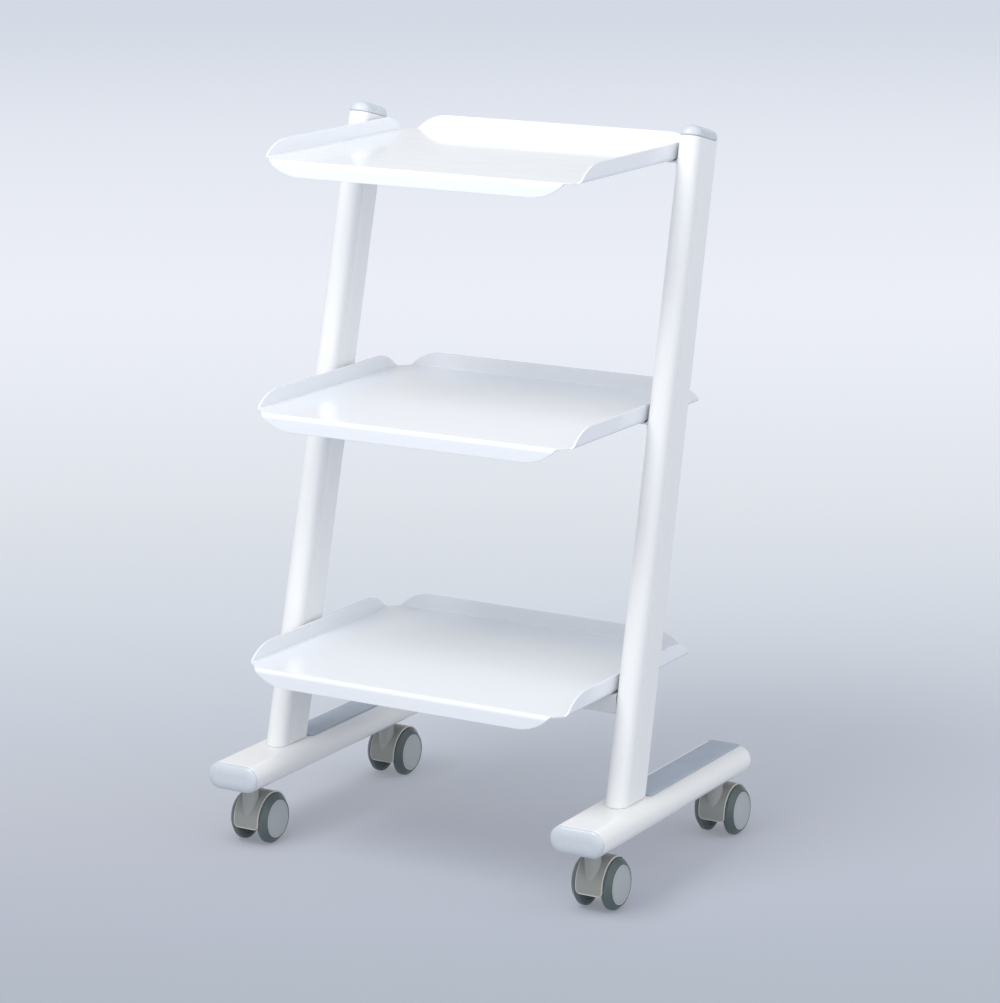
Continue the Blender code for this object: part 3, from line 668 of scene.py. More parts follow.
def post_cap(side, sx):
    """Domed cap: a short wall, then a round shoulder up to a softly crowned top."""
    cx = sx * RAIL_X
    g, h = 0.0004, CAP_HEIGHT
    steps = [(-0.012, POST_WALL + GAP + 0.0006, None), (-0.010, POST_WALL + GAP, None),
             (g, POST_WALL + GAP, None), (g, 0.0003, None), (g + 0.0003, 0.0, None),
             (g + 0.0012, 0.0, 0.0)]
    n, rise = 22, h - g - 0.0012
    for i in range(1, n + 1):
        a = radians(84.0) * i / n
        ins = 0.0110 * (1 - cos(a)) / (1 - cos(radians(84.0)))
        steps.append((g + 0.0012 + rise * sin(a) / sin(radians(84.0)), ins,
                      0.0046 * (1 - cos(a)) / (1 - cos(radians(84.0)))))
    rings = [[post_point(x, s, t, cx) for x, s in d_section(ins, back=back)]
             for t, ins, back in steps]
    ob = to_object(f"post_cap_{side}_moulding", ring_skin(rings), M_BLUE)
    return place(ob, "frame", [f"post_cap_{side}"], 50)


CAP_HEIGHT = 0.0118


def cross_rail():
    lo, hi = CROSS

    def loop(ins):
        r, pts = max(0.0030 - ins, 0.0004), []
        for cy, cz, a0 in ((hi.y - ins - r, hi.z - ins - r, 0), (lo.y + ins + r, hi.z - ins - r, 90),
                           (lo.y + ins + r, lo.z + ins + r, 180), (hi.y - ins - r, lo.z + ins + r, 270)):
            dirs = {0: (0, -1), 90: (1, 0), 180: (0, 1), 270: (-1, 0)}[a0]
            a = radians(a0)
            pts.append((cy + r * cos(a) + dirs[0] * 0.0008, cz + r * sin(a) + dirs[1] * 0.0008))
            for i in range(9):
                a = radians(a0 + 90 * i / 8)
                pts.append((cy + r * cos(a), cz + r * sin(a)))
            nxt = {0: (-1, 0), 90: (0, -1), 180: (1, 0), 270: (0, 1)}[a0]
            pts.append((cy + r * cos(a) + nxt[0] * 0.0008, cz + r * sin(a) + nxt[1] * 0.0008))
        return pts

    w = 0.0018
    rings = [[Vector((x, y, z)) for y, z in loop(ins)]
             for x, ins in ((lo.x, 0), (hi.x, 0), (hi.x, w), (lo.x, w))]
    ob = to_object("cross_rail_tube", ring_skin(rings, loop=True), M_CROSS)
    return place(ob, "frame", ["cross_rail"], 40)


# ---------------------------------------------------------------- trays
ARC = (BEND_R + SHEET_T / 2) * pi / 2


def flap_point(d, o, down):
    """(out, height) of the folded sheet at developed length d, o below its top face."""
    a = min(d, ARC) / ARC * pi / 2
    rest = max(0.0, d - ARC)
    if down:
        r = BEND_R + SHEET_T - o
        return r * sin(a), -SHEET_T - BEND_R + r * cos(a) - rest
    r = BEND_R + o
    return r * sin(a), BEND_R - r * cos(a) + rest


def tray(node, n=18, m=9):
    y0, y1, zt, half_w = TRAYS[node]
    inset = SHEET_T + BEND_R
    ox, hy = half_w - inset, (y1 - y0) / 2 - inset
    centre = Vector((0, (y0 + y1) / 2, zt))
    full_up = ARC + RIM_H - BEND_R
    full_dn = ARC + SKIRT_H - BEND_R - SHEET_T
    X, Y = Vector((1, 0, 0)), Vector((0, 1, 0))
    sides = [(X, Y, ox, hy - CORNER_CUT, full_up, False),
             (Y, -X, hy, ox - CORNER_CUT, full_up, False),
             (-X, -Y, ox, hy - CORNER_CUT, full_up, False),
             (-Y, X, hy, ox - CORNER_CUT, full_dn, True)]
    cols = []
    for out, along, base, half, full, down in sides:
        stations = []
        for k in range(n + 1):
            th = pi / 2 * k / n
            stations.append((-half + END_CURVE * (1 - cos(th)), max(full * sin(th) ** 1.5, 0.00045)))
        stations += [(-s, l) for s, l in stations[::-1]]
        for s, length in stations:
            e = min(0.00040, length * 0.4)
            L = length - e
            if L > ARC + 0.0032:
                ds = [ARC * j / m for j in range(m + 1)] + [ARC + 0.0013, L - 0.0010, L]
            else:
                ds = [L * j / (m + 3) for j in range(m + 4)]
            path = [(d, 0.0) for d in ds]
            for i in range(1, 5):
                a = pi / 2 * i / 4
                path.append((L + e * sin(a), e * (1 - cos(a))))
            for i in range(0, 5):
                a = pi / 2 * i / 4
                path.append((L + e * cos(a), SHEET_T - e + e * sin(a)))
            path += [(d, SHEET_T) for d in ds[::-1][1:]]
            origin = centre + out * base + along * s
            col = [origin - out * 0.0016]
            for d, o in path:
                p = flap_point(d, o, down)
                col.append(origin + out * p[0] + Vector((0, 0, p[1])))
            col.append(origin - out * 0.0016 + Vector((0, 0, -SHEET_T)))
            cols.append(col)
    bm = bmesh.new()
    grid = [[bm.verts.new(p) for p in c] for c in cols]
    for a, b in zip(grid, grid[1:] + grid[:1]):
        for j in range(len(a) - 1):
            bm.faces.new((a[j], b[j], b[j + 1], a[j + 1]))
    bm.faces.new([c[0] for c in grid])
    bm.faces.new([c[-1] for c in grid][::-1])
    ob = to_object(f"{node}_sheet", bm, M_SHEET)
    return place(ob, "frame", [node], 50)


# ---------------------------------------------------------------- brackets and screws
def bracket(tray_name, side, sx):
    node = tray_name.replace("tray", "bracket") + f"_{side}"
    lo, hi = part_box(node)
    yc, hyw = (lo.y + hi.y) / 2, (hi.y - lo.y) / 2
    zt = TRAYS[tray_name][2] - SHEET_T - GAP
    xo = RAIL_X - POST_W / 2 - GAP
    t, drop, leg = 0.0020, 0.0200, 0.0330
    # folded plate: outline corners rounded, bend rounded inside and out
    path = fillet([(xo, zt + 0.0020, 0.0004), (xo, zt - drop, 0.0004),
                   (xo - t, zt - drop, 0.0004), (xo - t, zt - 0.0020, 0.0014),
                   (xo - t - leg, zt - 0.0020, 0.0004), (xo - t - leg, zt, 0.0004),
                   (xo - t, zt, 0.0003), (xo - t, zt + 0.0020, 0.0004)], 4)
    rings = [[Vector((sx * x, y, z)) for x, z in path]
             for y in (yc - hyw, yc + hyw)]
    ob = to_object(node + "_plate", ring_skin(rings), M_BRACKET)
    # round the free corners of both legs
    c = 0.0040
    for sgn in (-1, 1):
        corner = fillet([(xo - t - leg - 0.001, sgn * (hyw + 0.001), 0),
                         (xo - t - leg + c, sgn * (hyw + 0.001), 0),
                         (xo - t - leg - 0.001, sgn * (hyw - c), 0)], 4)
        tri = [[Vector((sx * x, yc + y, z)) for x, y in corner] for z in (zt - 0.006, zt + 0.004)]
        boolean(ob, to_object("cut", ring_skin(tri), M_BRACKET), "DIFFERENCE")
        tri = [[Vector((x, yc + y, z)) for y, z in
                ((sgn * (hyw + 0.001), zt - drop - 0.001), (sgn * (hyw - c), zt - drop - 0.001),
                 (sgn * (hyw + 0.001), zt - drop + c))]
               for x in (sx * (xo - t - 0.002), sx * (xo + 0.002))]
        boolean(ob, to_object("cut", ring_skin(tri), M_BRACKET), "DIFFERENCE")
    boolean(ob, bar((sx * xo, yc, zt + SHEET_T + GAP - SCREW_DROP), "X", 0.0029, 0.012, 28),
            "DIFFERENCE")
    clean(ob)
    md = ob.modifiers.new("edge", "BEVEL")
    md.width, md.segments, md.limit_method, md.angle_limit = 0.0003, 2, "ANGLE", radians(50)
    return place(ob, "frame", [node], 40)


def hex_socket(ob, centre, axis, across, depth):
    """Sink a hexagon into a screw head; centre is on the face of the head."""
    c, rings = Vector(centre), []
    for h in (-depth, depth):
        rings.append([])
        for i in range(6):
            a = 2 * pi * i / 6
            u, v = across / sqrt(3) * cos(a), across / sqrt(3) * sin(a)
            rings[-1].append(c + (Vector((h, u, v)) if axis == "X" else Vector((u, v, h))))
    return boolean(ob, to_object("cut", ring_skin(rings), M_ZINC), "DIFFERENCE")


def screw(tray_name, side, sx):
    node = tray_name.replace("tray", "screw") + f"_{side}"
    z = TRAYS[tray_name][2] - SCREW_DROP
    xf = RAIL_X - POST_W / 2 - GAP - 0.0020 - GAP
    prof = [(xf - 0.0026, 0.0)] + fillet(
        [(xf - 0.0026, 0.0003, 0), (xf - 0.0026, 0.0036, 0.0009), (xf - 0.0012, 0.0047, 0.0006),
         (xf, 0.0047, 0.0002), (xf, 0.0025, 0.0002), (xf + 0.0090, 0.0025, 0.0003),
         (xf + 0.0098, 0.0018, 0.0003), (xf + 0.0098, 0.0003, 0)], 3) + [(xf + 0.0098, 0.0)]
    c = (0, bracket_y(tray_name), z)
    ob = lathe(node + "_button", [(sx * h, r) for h, r in prof], c, "X", 36, M_ZINC)
    hex_socket(ob, (sx * (xf - 0.0026), c[1], z), "X", 0.0034, 0.0017)
    clean(ob)
    return place(ob, "frame", [node], 34)


def post_bolt(side, sx):
    node = f"post_bolt_{side}"
    cx, low = sx * RAIL_X, RAIL_TOP - RAIL_H - GAP
    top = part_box(node)[1].z
    prof = [(low - 0.0034, 0.0)] + fillet(
        [(low - 0.0034, 0.0004, 0), (low - 0.0034, 0.0046, 0.0012), (low - 0.0018, 0.0064, 0.0008),
         (low, 0.0064, 0.0002), (low, 0.0030, 0.0002), (top - 0.0012, 0.0030, 0.0003),
         (top, 0.0020, 0.0003), (top, 0.0004, 0)], 3) + [(top, 0.0)]
    ob = lathe(node + "_button", prof, (cx, BOLT_Y, 0), "Z", 40, M_ZINC)
    hex_socket(ob, (cx, BOLT_Y, low - 0.0034), "Z", 0.0045, 0.0022)
    clean(ob)
    return place(ob, "frame", [node], 34)


# ---------------------------------------------------------------- casters
ARC0 = radians(10.0)
ARC_LEN = HOOD_R * (pi - ARC0)
DROP_LEN = 0.0068
HOOD_LEN = ARC_LEN + DROP_LEN
HALF_TABLE = (0.0160, 0.0160, 0.0159, 0.0158, 0.0157, 0.0155, 0.0153, 0.0151, 0.0149,
              0.0147, 0.0146)


def hood_half(u):
    """Half width of the hood at length u along it, before the corners are rounded."""
    if u >= ARC_LEN:
        return 0.0146 - 0.0003 * (u - ARC_LEN) / DROP_LEN
    t = u / ARC_LEN * 10
    k = min(int(t), 9)
    f = t - k
    p = [HALF_TABLE[max(0, min(10, k + d))] for d in (-1, 0, 1, 2)]
    return p[1] + 0.5 * f * (p[2] - p[0] + f * (2 * p[0] - 5 * p[1] + 4 * p[2] - p[3]
                                                + f * (3 * (p[1] - p[2]) + p[3] - p[0])))


def hood_frame(u):
    """(y, z) on the outer face and the outward normal, about the wheel centre."""
    if u <= ARC_LEN:
        a = ARC0 + u / HOOD_R
        return (HOOD_R * cos(a), HOOD_R * sin(a)), (cos(a), sin(a))
    d = u - ARC_LEN
    return (-HOOD_R + 0.0004 * d / DROP_LEN, -d), (-1.0, 0.0)


def corner_at(u):
    """(corner radius, distance to the nearer end) of the hood outline."""
    return (0.0030, u) if u < HOOD_LEN / 2 else (0.0046, HOOD_LEN - u)


def rounded_half(u):
    w = hood_half(u)
    c, near = corner_at(u)
    if near < c:
        w += -c + sqrt(max(0.0, c ** 2 - (c - near) ** 2))
    return w


def edge_distance(u, v):
    w = hood_half(u)
    c, near = corner_at(u)
    if near < c and abs(v) > w - c:
        return c - hypot(c - near, abs(v) - (w - c))
    return min(w - abs(v), near)


BEAD = ((0.0, -0.00055), (0.00010, -0.00012), (0.00024, 0.00012), (0.00044, 0.00022),
        (0.00068, 0.00022), (0.00088, 0.00010), (0.00104, -0.00012), (0.00126, -0.00022),
        (0.00200, -0.00022), (0.00300, -0.00018))


def bead(dist):
    if dist <= 0:
        return BEAD[0][1]
    for (a, p), (b, q) in zip(BEAD, BEAD[1:]):
        if dist <= b:
            return p + (q - p) * (dist - a) / (b - a)
    return BEAD[-1][1]


def hood_mesh():
    """Hood about the wheel centre line: shell with a beaded lip, stem boss and web."""
    steps = [d for d, _ in BEAD]
    us = [d for d in steps] + [0.0038]
    k = 32
    a, b = 0.0048, HOOD_LEN - 0.0052
    us += [a + (b - a) * i / k for i in range(k + 1)]
    us += [HOOD_LEN - 0.0046, HOOD_LEN - 0.0038] + [HOOD_LEN - d for d in steps[::-1]]
    outer, inner = [], []
    for u in us:
        w = rounded_half(u)
        vs = [-(w - d) for d in steps]
        mid = w - steps[-1]
        vs += [-mid + 2 * mid * i / 8 for i in range(1, 8)]
        vs += [w - d for d in steps[::-1]]
        (y, z), (ny, nz) = hood_frame(u)
        ro, ri = [], []
        for v in vs:
            off = bead(edge_distance(u, v))
            ro.append(Vector((v, y + ny * off, WHEEL_R + z + nz * off)))
            off = -(HOOD_R - HOOD_R_IN)
            ri.append(Vector((v, y + ny * off, WHEEL_R + z + nz * off)))
        outer.append(ro)
        inner.append(ri)
    bm = bmesh.new()
    vo = [[bm.verts.new(p) for p in r] for r in outer]
    vi = [[bm.verts.new(p) for p in r] for r in inner]
    nu, nv = len(us), len(outer[0])
    for i in range(nu - 1):
        for j in range(nv - 1):
            bm.faces.new((vo[i][j], vo[i + 1][j], vo[i + 1][j + 1], vo[i][j + 1]))
            bm.faces.new((vi[i][j], vi[i][j + 1], vi[i + 1][j + 1], vi[i + 1][j]))
        for j in (0, nv - 1):
            bm.faces.new((vo[i][j], vi[i][j], vi[i + 1][j], vo[i + 1][j]))
    for i in (0, nu - 1):
        for j in range(nv - 1):
            bm.faces.new((vo[i][j], vo[i][j + 1], vi[i][j + 1], vi[i][j]))
    ob = to_object("hood_shell", bm, [M_HOOD, M_LIP_PAINTED_HIGHLIGHT])

    boss_prof = [(0.029, 0.0)] + [(0.029, BOSS_R)] + [
        (HOOD_TOP - 0.0008 + 0.0008 * sin(pi / 2 * i / 4), BOSS_R - 0.0008 * (1 - cos(pi / 2 * i / 4)))
        for i in range(5)] + [(HOOD_TOP, 0.0)]
    trail = abs(JOINTS["spin_front_right_l"]["pos_m"][1] - JOINTS["swivel_front_right"]["pos_m"][1])
    boss = lathe("boss", boss_prof, (0, -trail, 0), "Z", 64, [M_HOOD, M_LIP_PAINTED_HIGHLIGHT])
    boolean(boss, bar((0, 0, WHEEL_R), "X", (HOOD_R + HOOD_R_IN) / 2, 0.060, 96), "DIFFERENCE")
    boolean(ob, boss, "UNION")

    rw = (HOOD_R + HOOD_R_IN) / 2
    web = [(rw * cos(radians(a)), rw * sin(radians(a))) for a in range(60, 181, 4)]
    web += [(-rw + 0.0003, -0.0045), (-0.0160, -0.0078), (-0.0040, -0.0078),
            (0.0055, -0.0055), (0.0085, 0.0), (0.0100, 0.0090)]
    rings = [[Vector((x, y, WHEEL_R + z)) for y, z in web] for x in (-WEB_HALF, WEB_HALF)]
    boolean(ob, to_object("web", ring_skin(rings), [M_HOOD, M_LIP_PAINTED_HIGHLIGHT]), "UNION")
    boolean(ob, bar((0, -trail, 0.0560), "Z", STEM_R + GAP, 0.024), "DIFFERENCE")
    boolean(ob, bar((0, 0, WHEEL_R), "X", AXLE_R + GAP, 0.030), "DIFFERENCE")
    clean(ob)
    me = ob.data
    me.materials.clear()
    me.materials.append(M_HOOD)
    me.materials.append(M_LIP_PAINTED_HIGHLIGHT)
    me.materials.append(M_BOSS_PAINTED_LIGHT)
    # lip bead faces take the lighter lip copy and the boss sides the lighter boss copy: painted highlight and
    # painted light on the one hood moulding
    for p in me.polygons:
        x, y, z = p.center
        z -= WHEEL_R
        if z >= 0:
            ang = atan2(z, y)
            u, off = (ang - ARC0) * HOOD_R, hypot(y, z) - HOOD_R
        else:
            u, off = ARC_LEN - z, -y - HOOD_R + 0.0004
        lip = u > -0.0002 and off > -0.0012 and edge_distance(max(u, 0.0), x) < 0.00098
        if hypot(x, y + trail) < BOSS_R + 0.0006 and z > 0.006:
            lip = False
        if z < 0 and y > -0.020:
            lip = False
        boss_side_painted_light = (abs(hypot(x, y + trail) - BOSS_R) < 0.0003 and abs(p.normal.z) < 0.2
                     and z > 0.0046)
        p.material_index = 2 if boss_side_painted_light else 1 if lip else 0
    return ob


HOOD_SOURCE = hood_mesh()


def crease_boss(me):
    """Keep the seam between stem boss and hood crisp."""
    trail = abs(JOINTS["spin_front_right_l"]["pos_m"][1] - JOINTS["swivel_front_right"]["pos_m"][1])
    bm = bmesh.new()
    bm.from_mesh(me)

    def on_boss(f):
        c = f.calc_center_median()
        return (abs(hypot(c.x, c.y + trail) - BOSS_R) < 0.0003 and abs(f.normal.z) < 0.2
                and c.z > 0.0300)

    for e in bm.edges:
        if len(e.link_faces) == 2 and on_boss(e.link_faces[0]) != on_boss(e.link_faces[1]):
            e.smooth = False
    bm.to_mesh(me)
    bm.free()


def hood(tag, cx, yw):
    me = HOOD_SOURCE.data.copy()
    ob = bpy.data.objects.new(f"caster_{tag}_hood_moulding", me)
    ob.location = (cx, yw, 0.0)
    bpy.context.scene.collection.objects.link(ob)
    place(ob, f"caster_{tag}", [f"caster_{tag}_hood"], 30)
    crease_boss(ob.data)
    return ob


def stem(tag, cx, ys):
    node = f"caster_{tag}_stem"
    lo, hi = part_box(node)
    low = RAIL_TOP - RAIL_H
    prof = [(lo.z, 0.0)] + fillet(
        [(lo.z, 0.0006, 0), (lo.z, STEM_R - 0.0006, 0.0002), (lo.z + 0.0006, STEM_R, 0.0002),
         (HOOD_TOP + GAP, STEM_R, 0), (HOOD_TOP + GAP, 0.0080, 0.0003),
         (low - GAP, 0.0080, 0.0003), (low - GAP, STEM_R, 0), (hi.z - 0.0008, STEM_R, 0.0003),
         (hi.z, STEM_R - 0.0008, 0.0002), (hi.z, 0.0006, 0)], 3) + [(hi.z, 0.0)]
    ob = lathe(node + "_pin", prof, (cx, ys, 0), "Z", 40, M_ZINC)
    return place(ob, "frame", [node], 34)


def axle(tag, cx, yw):
    node = f"caster_{tag}_axle"
    lo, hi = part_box(node)
    h = (hi.x - lo.x) / 2
    prof = [(-h, 0.0)] + fillet([(-h, 0.0005, 0), (-h, AXLE_R, 0.0005), (h, AXLE_R, 0.0005),
                                 (h, 0.0005, 0)], 3) + [(h, 0.0)]
    ob = lathe(node + "_pin", prof, (cx, yw, WHEEL_R), "X", 32, M_ZINC)
    return place(ob, f"caster_{tag}", [node], 34)


def wheel(tag, cx, yw, which, wx):
    o = (cx, yw, WHEEL_R)
    tyre = fillet([(0.0110, 0.0190, 0.0002), (0.0113, 0.0220, 0.0014), (0.0126, WHEEL_R, 0.0011),
                   (0.0172, WHEEL_R, 0.0016), (0.0222, 0.0197, 0.0006), (0.0222, 0.0190, 0.0002)], 6)
    disc = fillet([(0.02240, 0.0120, 0), (0.02205, 0.0162, 0.0010), (0.02165, 0.01755, 0.0002),
                   (0.02225, 0.01790, 0.0002), (0.02205, 0.0186, 0.0003), (0.0214, 0.0187, 0.0003),
                   (0.0114, 0.0187, 0.0003), (0.0114, 0.0168, 0.0003), (0.0132, 0.0162, 0.0004),
                   (0.0132, 0.0078, 0.0004), (0.0080, 0.0070, 0.0003),
                   (0.0080, AXLE_R + GAP, 0.0002), (0.0190, AXLE_R + GAP, 0.0003)], 4)
    crown = [(0.0227, 0.0), (0.02268, 0.0040), (0.02260, 0.0080)]
    node_t, node_d = f"caster_{tag}_tyre_{which}", f"caster_{tag}_disc_{which}"
    body = f"wheel_{tag}_{which}"
    ob = lathe(node_t + "_ring", [(wx * h, r) for h, r in tyre], o, "X", 96, M_TYRE, origin=o)
    place(ob, body, [node_t], 30)
    prof = crown + disc + [(0.0190, 0.0)]
    ob = lathe(node_d + "_moulding", [(wx * h, r) for h, r in prof], o, "X", 80,
               [M_DISC, M_DISC_INNER_SHADE], origin=o)
    # inner faces of the disc take the dark copy: painted shade
    for p in ob.data.polygons:
        p.material_index = 1 if abs(p.center.x) < 0.0200 else 0
    place(ob, body, [node_d], 40)


# ---------------------------------------------------------------- assembly
for side, sx in (("left", -1), ("right", 1)):
    rail(side, sx)
    front_cap(side, sx)
    rear_cap(side, sx)
    cover_strip(side, sx)
    post(side, sx)
    post_cap(side, sx)
    post_bolt(side, sx)
    for t in TRAYS:
        bracket(t, side, sx)
        screw(t, side, sx)
    for end in ("front", "rear"):
        tag = f"{end}_{side}"
        sw = JOINTS[f"swivel_{tag}"]["pos_m"]
        sp = JOINTS[f"spin_{tag}_l"]["pos_m"]
        stem(tag, sw[0], sw[1])
        hood(tag, sw[0], sp[1])
        axle(tag, sw[0], sp[1])
        wheel(tag, sw[0], sp[1], "l", -1)
        wheel(tag, sw[0], sp[1], "r", 1)
cross_rail()
for t in TRAYS:
    tray(t)

_me = HOOD_SOURCE.data
bpy.data.objects.remove(HOOD_SOURCE, do_unlink=True)
bpy.data.meshes.remove(_me)

# the hidden plugs inside the posts stay as they are, in moulded nylon
for side in ("left", "right"):
    ob = NODES[f"foot_plug_{side}"]
    for s in ob.material_slots:
        s.material = M_NYLON
    md = ob.modifiers.new("edge", "BEVEL")
    md.width, md.segments, md.limit_method, md.angle_limit = 0.0003, 2, "ANGLE", radians(50)


# ---------------------------------------------------------------- camera
cam_data = bpy.data.cameras.new("camera")
cam = bpy.data.objects.new("camera", cam_data)
bpy.context.scene.collection.objects.link(cam)
CAM = Vector((1.84747, -3.14457, 1.18654))
YAW = radians(30.20)
cam.location = CAM
cam.rotation_euler = (radians(90.0), 0.0, YAW)
cam_data.sensor_fit = "HORIZONTAL"
cam_data.sensor_width = 36.0
cam_data.lens = 129.34
cam_data.clip_start, cam_data.clip_end = 0.05, 200.0
# upright perspective by vertical shift; the shift belongs to this camera place only
drv = cam_data.driver_add("shift_y").driver
drv.type = "SCRIPTED"
var = drv.variables.new()
var.name = "cx"
var.type = "TRANSFORMS"
var.targets[0].id = cam
var.targets[0].transform_type = "LOC_X"
var.targets[0].transform_space = "WORLD_SPACE"
drv.expression = "-0.83143 if abs(cx - 1.84747) < 0.0005 else 0.0"
bpy.context.scene.camera = cam

# ---------------------------------------------------------------- floor
FWD = Vector((-sin(YAW), cos(YAW), 0.0))
GRADIENT = ((3.19, (183, 190, 200)), (3.33, (186, 192, 203)), (3.466, (191, 195, 206)),
            (3.61, (195, 199, 210)), (3.77, (199, 203, 212)), (4.14, (207, 212, 221)),
            (4.58, (216, 221, 227)), (5.14, (225, 227, 231)), (6.27, (237, 238, 243)),
            (7.35, (238, 238, 243)), (10.9, (219, 222, 228)), (12.9, (212, 216, 223)))


def lin(rgb):
    out = []
    for c in rgb:
        c /= 255.0
        out.append(c / 12.92 if c <= 0.04045 else ((c + 0.055) / 1.055) ** 2.4)
    return tuple(out)


KEY_POS = Vector((-0.29, -1.26, 2.02))
KEY_AIM = Vector((0.0, 0.0, 0.42))
KEY_SIZE, KEY_POWER = 1.30, 28.6
FLOOR_AMBIENT = 0.585        # what the soft surroundings put on the floor
FLOOR_SHARE = 0.62           # part of the floor tone that takes shadows
HORIZON = tuple(c * 0.955 for c in lin((212, 216, 223)))


def floor():
    bm = bmesh.new()
    bmesh.ops.create_circle(bm, cap_ends=True, segments=96, radius=70.0)
    for v in bm.verts:
        v.co.z = -0.0002
    ob = to_object("studio_floor", bm, [])
    m = bpy.data.materials.new("studio_floor")
    m.use_nodes = True
    nt = m.node_tree
    nt.nodes.clear()
    geo = nt.nodes.new("ShaderNodeNewGeometry")
    dot = nt.nodes.new("ShaderNodeVectorMath")
    dot.operation = "DOT_PRODUCT"
    nt.links.new(geo.outputs["Position"], dot.inputs[0])
    dot.inputs[1].default_value = FWD
    depth = nt.nodes.new("ShaderNodeMapRange")
    base = FWD.dot(CAM)
    depth.inputs["From Min"].default_value = base + 3.0
    depth.inputs["From Max"].default_value = base + 13.0
    nt.links.new(dot.outputs["Value"], depth.inputs["Value"])
    ramp = nt.nodes.new("ShaderNodeValToRGB")
    ramp.color_ramp.interpolation = "B_SPLINE"
    els = ramp.color_ramp.elements
    for i, (d, rgb) in enumerate(GRADIENT):
        t = (d - 3.0) / 10.0
        el = els[i] if i < 2 else els.new(t)
        el.position = t
        el.color = (*(c * 0.955 for c in lin(rgb)), 1.0)
    nt.links.new(depth.outputs["Result"], ramp.inputs["Fac"])
    ln = nt.nodes.new("ShaderNodeVectorMath")
    ln.operation = "LENGTH"
    nt.links.new(geo.outputs["Position"], ln.inputs[0])
    far = nt.nodes.new("ShaderNodeMapRange")
    far.interpolation_type = "SMOOTHSTEP"
    far.inputs["From Min"].default_value = 5.0
    far.inputs["From Max"].default_value = 11.0
    nt.links.new(ln.outputs["Value"], far.inputs["Value"])
    mix = nt.nodes.new("ShaderNodeMix")
    mix.data_type = "RGBA"
    nt.links.new(far.outputs["Result"], mix.inputs["Factor"])
    nt.links.new(ramp.outputs["Color"], mix.inputs["A"])
    mix.inputs["B"].default_value = (*HORIZON, 1.0)

    def calc(op, x, y):
        n = nt.nodes.new("ShaderNodeMath")
        n.operation = op
        for sock, v in zip(n.inputs, (x, y)):
            if isinstance(v, bpy.types.NodeSocket):
                nt.links.new(v, sock)
            else:
                sock.default_value = v
        return n.outputs[0]

    # the lamp falls off across the floor; the paper is toned to even that out
    off = nt.nodes.new("ShaderNodeVectorMath")
    off.operation = "SUBTRACT"
    nt.links.new(geo.outputs["Position"], off.inputs[0])
    off.inputs[1].default_value = KEY_POS

    def dot_with(vec):
        n = nt.nodes.new("ShaderNodeVectorMath")
        n.operation = "DOT_PRODUCT"
        nt.links.new(off.outputs["Vector"], n.inputs[0])
        if vec is None:
            nt.links.new(off.outputs["Vector"], n.inputs[1])
        else:
            n.inputs[1].default_value = vec
        return n.outputs["Value"]

    axial = calc("MAXIMUM", dot_with((KEY_AIM - KEY_POS).normalized()), 0.0)
    lamp = calc("DIVIDE", calc("MULTIPLY", axial, KEY_POS.z * KEY_POWER / (pi * pi)),
                calc("POWER", dot_with(None), 2.0))
    level = calc("DIVIDE", FLOOR_SHARE, calc("ADD", lamp, FLOOR_AMBIENT))
    tone = nt.nodes.new("ShaderNodeVectorMath")
    tone.operation = "SCALE"
    nt.links.new(mix.outputs["Result"], tone.inputs[0])
    nt.links.new(level, tone.inputs["Scale"])
    dif = nt.nodes.new("ShaderNodeBsdfDiffuse")
    nt.links.new(tone.outputs["Vector"], dif.inputs["Color"])
    glow = nt.nodes.new("ShaderNodeEmission")
    nt.links.new(mix.outputs["Result"], glow.inputs["Color"])
    glow.inputs["Strength"].default_value = 1.0 - FLOOR_SHARE
    both = nt.nodes.new("ShaderNodeAddShader")
    nt.links.new(dif.outputs["BSDF"], both.inputs[0])
    nt.links.new(glow.outputs["Emission"], both.inputs[1])
    # seen from below, the paper lets the underside of the trolley show
    clear = nt.nodes.new("ShaderNodeBsdfTransparent")
    side = nt.nodes.new("ShaderNodeMixShader")
    nt.links.new(geo.outputs["Backfacing"], side.inputs["Fac"])
    nt.links.new(both.outputs["Shader"], side.inputs[1])
    nt.links.new(clear.outputs["BSDF"], side.inputs[2])
    out = nt.nodes.new("ShaderNodeOutputMaterial")
    nt.links.new(side.outputs["Shader"], out.inputs["Surface"])
    ob.data.materials.append(m)
    return ob


floor()


# ---------------------------------------------------------------- studio light

def key_light():
    ld = bpy.data.lights.new("key_softbox", "AREA")
    ld.shape, ld.size, ld.energy = "DISK", KEY_SIZE, KEY_POWER
    ld.color = (1.0, 0.995, 0.985)
    ob = bpy.data.objects.new("key_softbox", ld)
    ob.location = KEY_POS
    ob.rotation_euler = (KEY_AIM - KEY_POS).to_track_quat("-Z", "Y").to_euler()
    bpy.context.scene.collection.objects.link(ob)
    ob.visible_camera = False
    return ob


key_light()


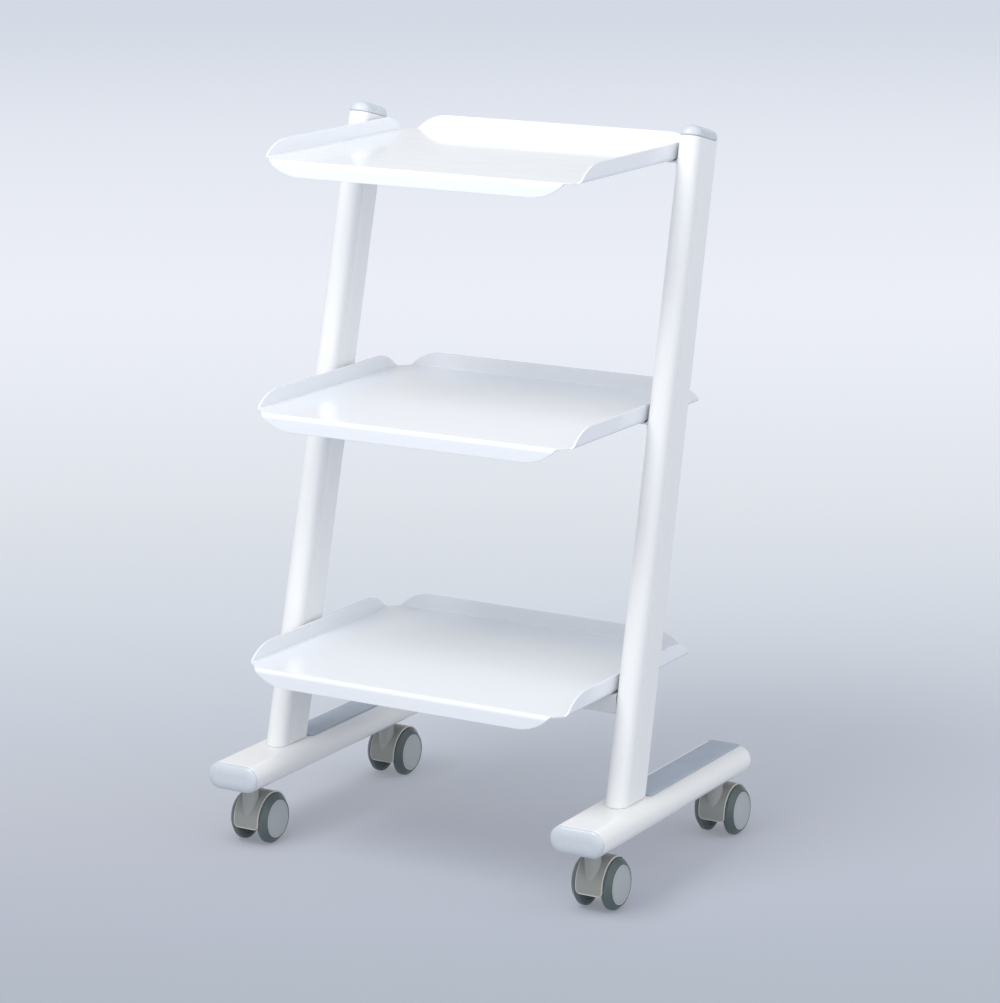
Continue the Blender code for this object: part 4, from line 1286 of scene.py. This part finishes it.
def studio():
    w = bpy.data.worlds.new("studio")
    bpy.context.scene.world = w
    w.use_nodes = True
    nt = w.node_tree
    nt.nodes.clear()
    co = nt.nodes.new("ShaderNodeTexCoord").outputs["Generated"]

    def dot(vec):
        n = nt.nodes.new("ShaderNodeVectorMath")
        n.operation = "DOT_PRODUCT"
        nt.links.new(co, n.inputs[0])
        n.inputs[1].default_value = Vector(vec).normalized()
        return n.outputs["Value"]

    def span(val, lo, hi, a, b):
        n = nt.nodes.new("ShaderNodeMapRange")
        n.interpolation_type = "SMOOTHSTEP"
        nt.links.new(val, n.inputs["Value"])
        n.inputs["From Min"].default_value = lo
        n.inputs["From Max"].default_value = hi
        n.inputs["To Min"].default_value = a
        n.inputs["To Max"].default_value = b
        return n.outputs["Result"]

    def tint(val, rgb):
        n = nt.nodes.new("ShaderNodeVectorMath")
        n.operation = "SCALE"
        n.inputs[0].default_value = rgb
        nt.links.new(val, n.inputs["Scale"])
        return n.outputs["Vector"]

    def add(a, b):
        n = nt.nodes.new("ShaderNodeVectorMath")
        n.operation = "ADD"
        nt.links.new(a, n.inputs[0])
        nt.links.new(b, n.inputs[1])
        return n.outputs["Vector"]

    total = tint(span(dot((0, 0, 1)), 0.0, 0.70, 0.60, 0.0), (1.0, 0.995, 0.980))
    total = add(total, tint(span(dot((0, 0, 1)), 0.0, 0.85, 0.0, 0.34), (0.90, 0.98, 1.10)))
    total = add(total, tint(span(dot((-0.20, -0.85, 0.40)), 0.20, 0.95, 0.0, 0.22), (1.0, 0.995, 0.985)))
    total = add(total, tint(span(dot((0.90, -0.20, 0.40)), 0.30, 0.95, 0.0, 0.78), (0.97, 0.99, 1.03)))
    total = add(total, tint(span(dot((-0.48, 0.84, 0.25)), 0.70, 0.98, 0.0, 0.16), (0.97, 0.99, 1.03)))
    cam_col = nt.nodes.new("ShaderNodeRGB")
    cam_col.outputs[0].default_value = (*HORIZON, 1.0)
    path = nt.nodes.new("ShaderNodeLightPath")
    mix = nt.nodes.new("ShaderNodeMix")
    mix.data_type = "RGBA"
    nt.links.new(path.outputs["Is Camera Ray"], mix.inputs["Factor"])
    nt.links.new(total, mix.inputs["A"])
    nt.links.new(cam_col.outputs[0], mix.inputs["B"])
    bg = nt.nodes.new("ShaderNodeBackground")
    nt.links.new(mix.outputs["Result"], bg.inputs["Color"])
    out = nt.nodes.new("ShaderNodeOutputWorld")
    nt.links.new(bg.outputs["Background"], out.inputs["Surface"])


studio()
bpy.context.scene.view_settings.view_transform = "Standard"
bpy.context.scene.view_settings.look = "None"
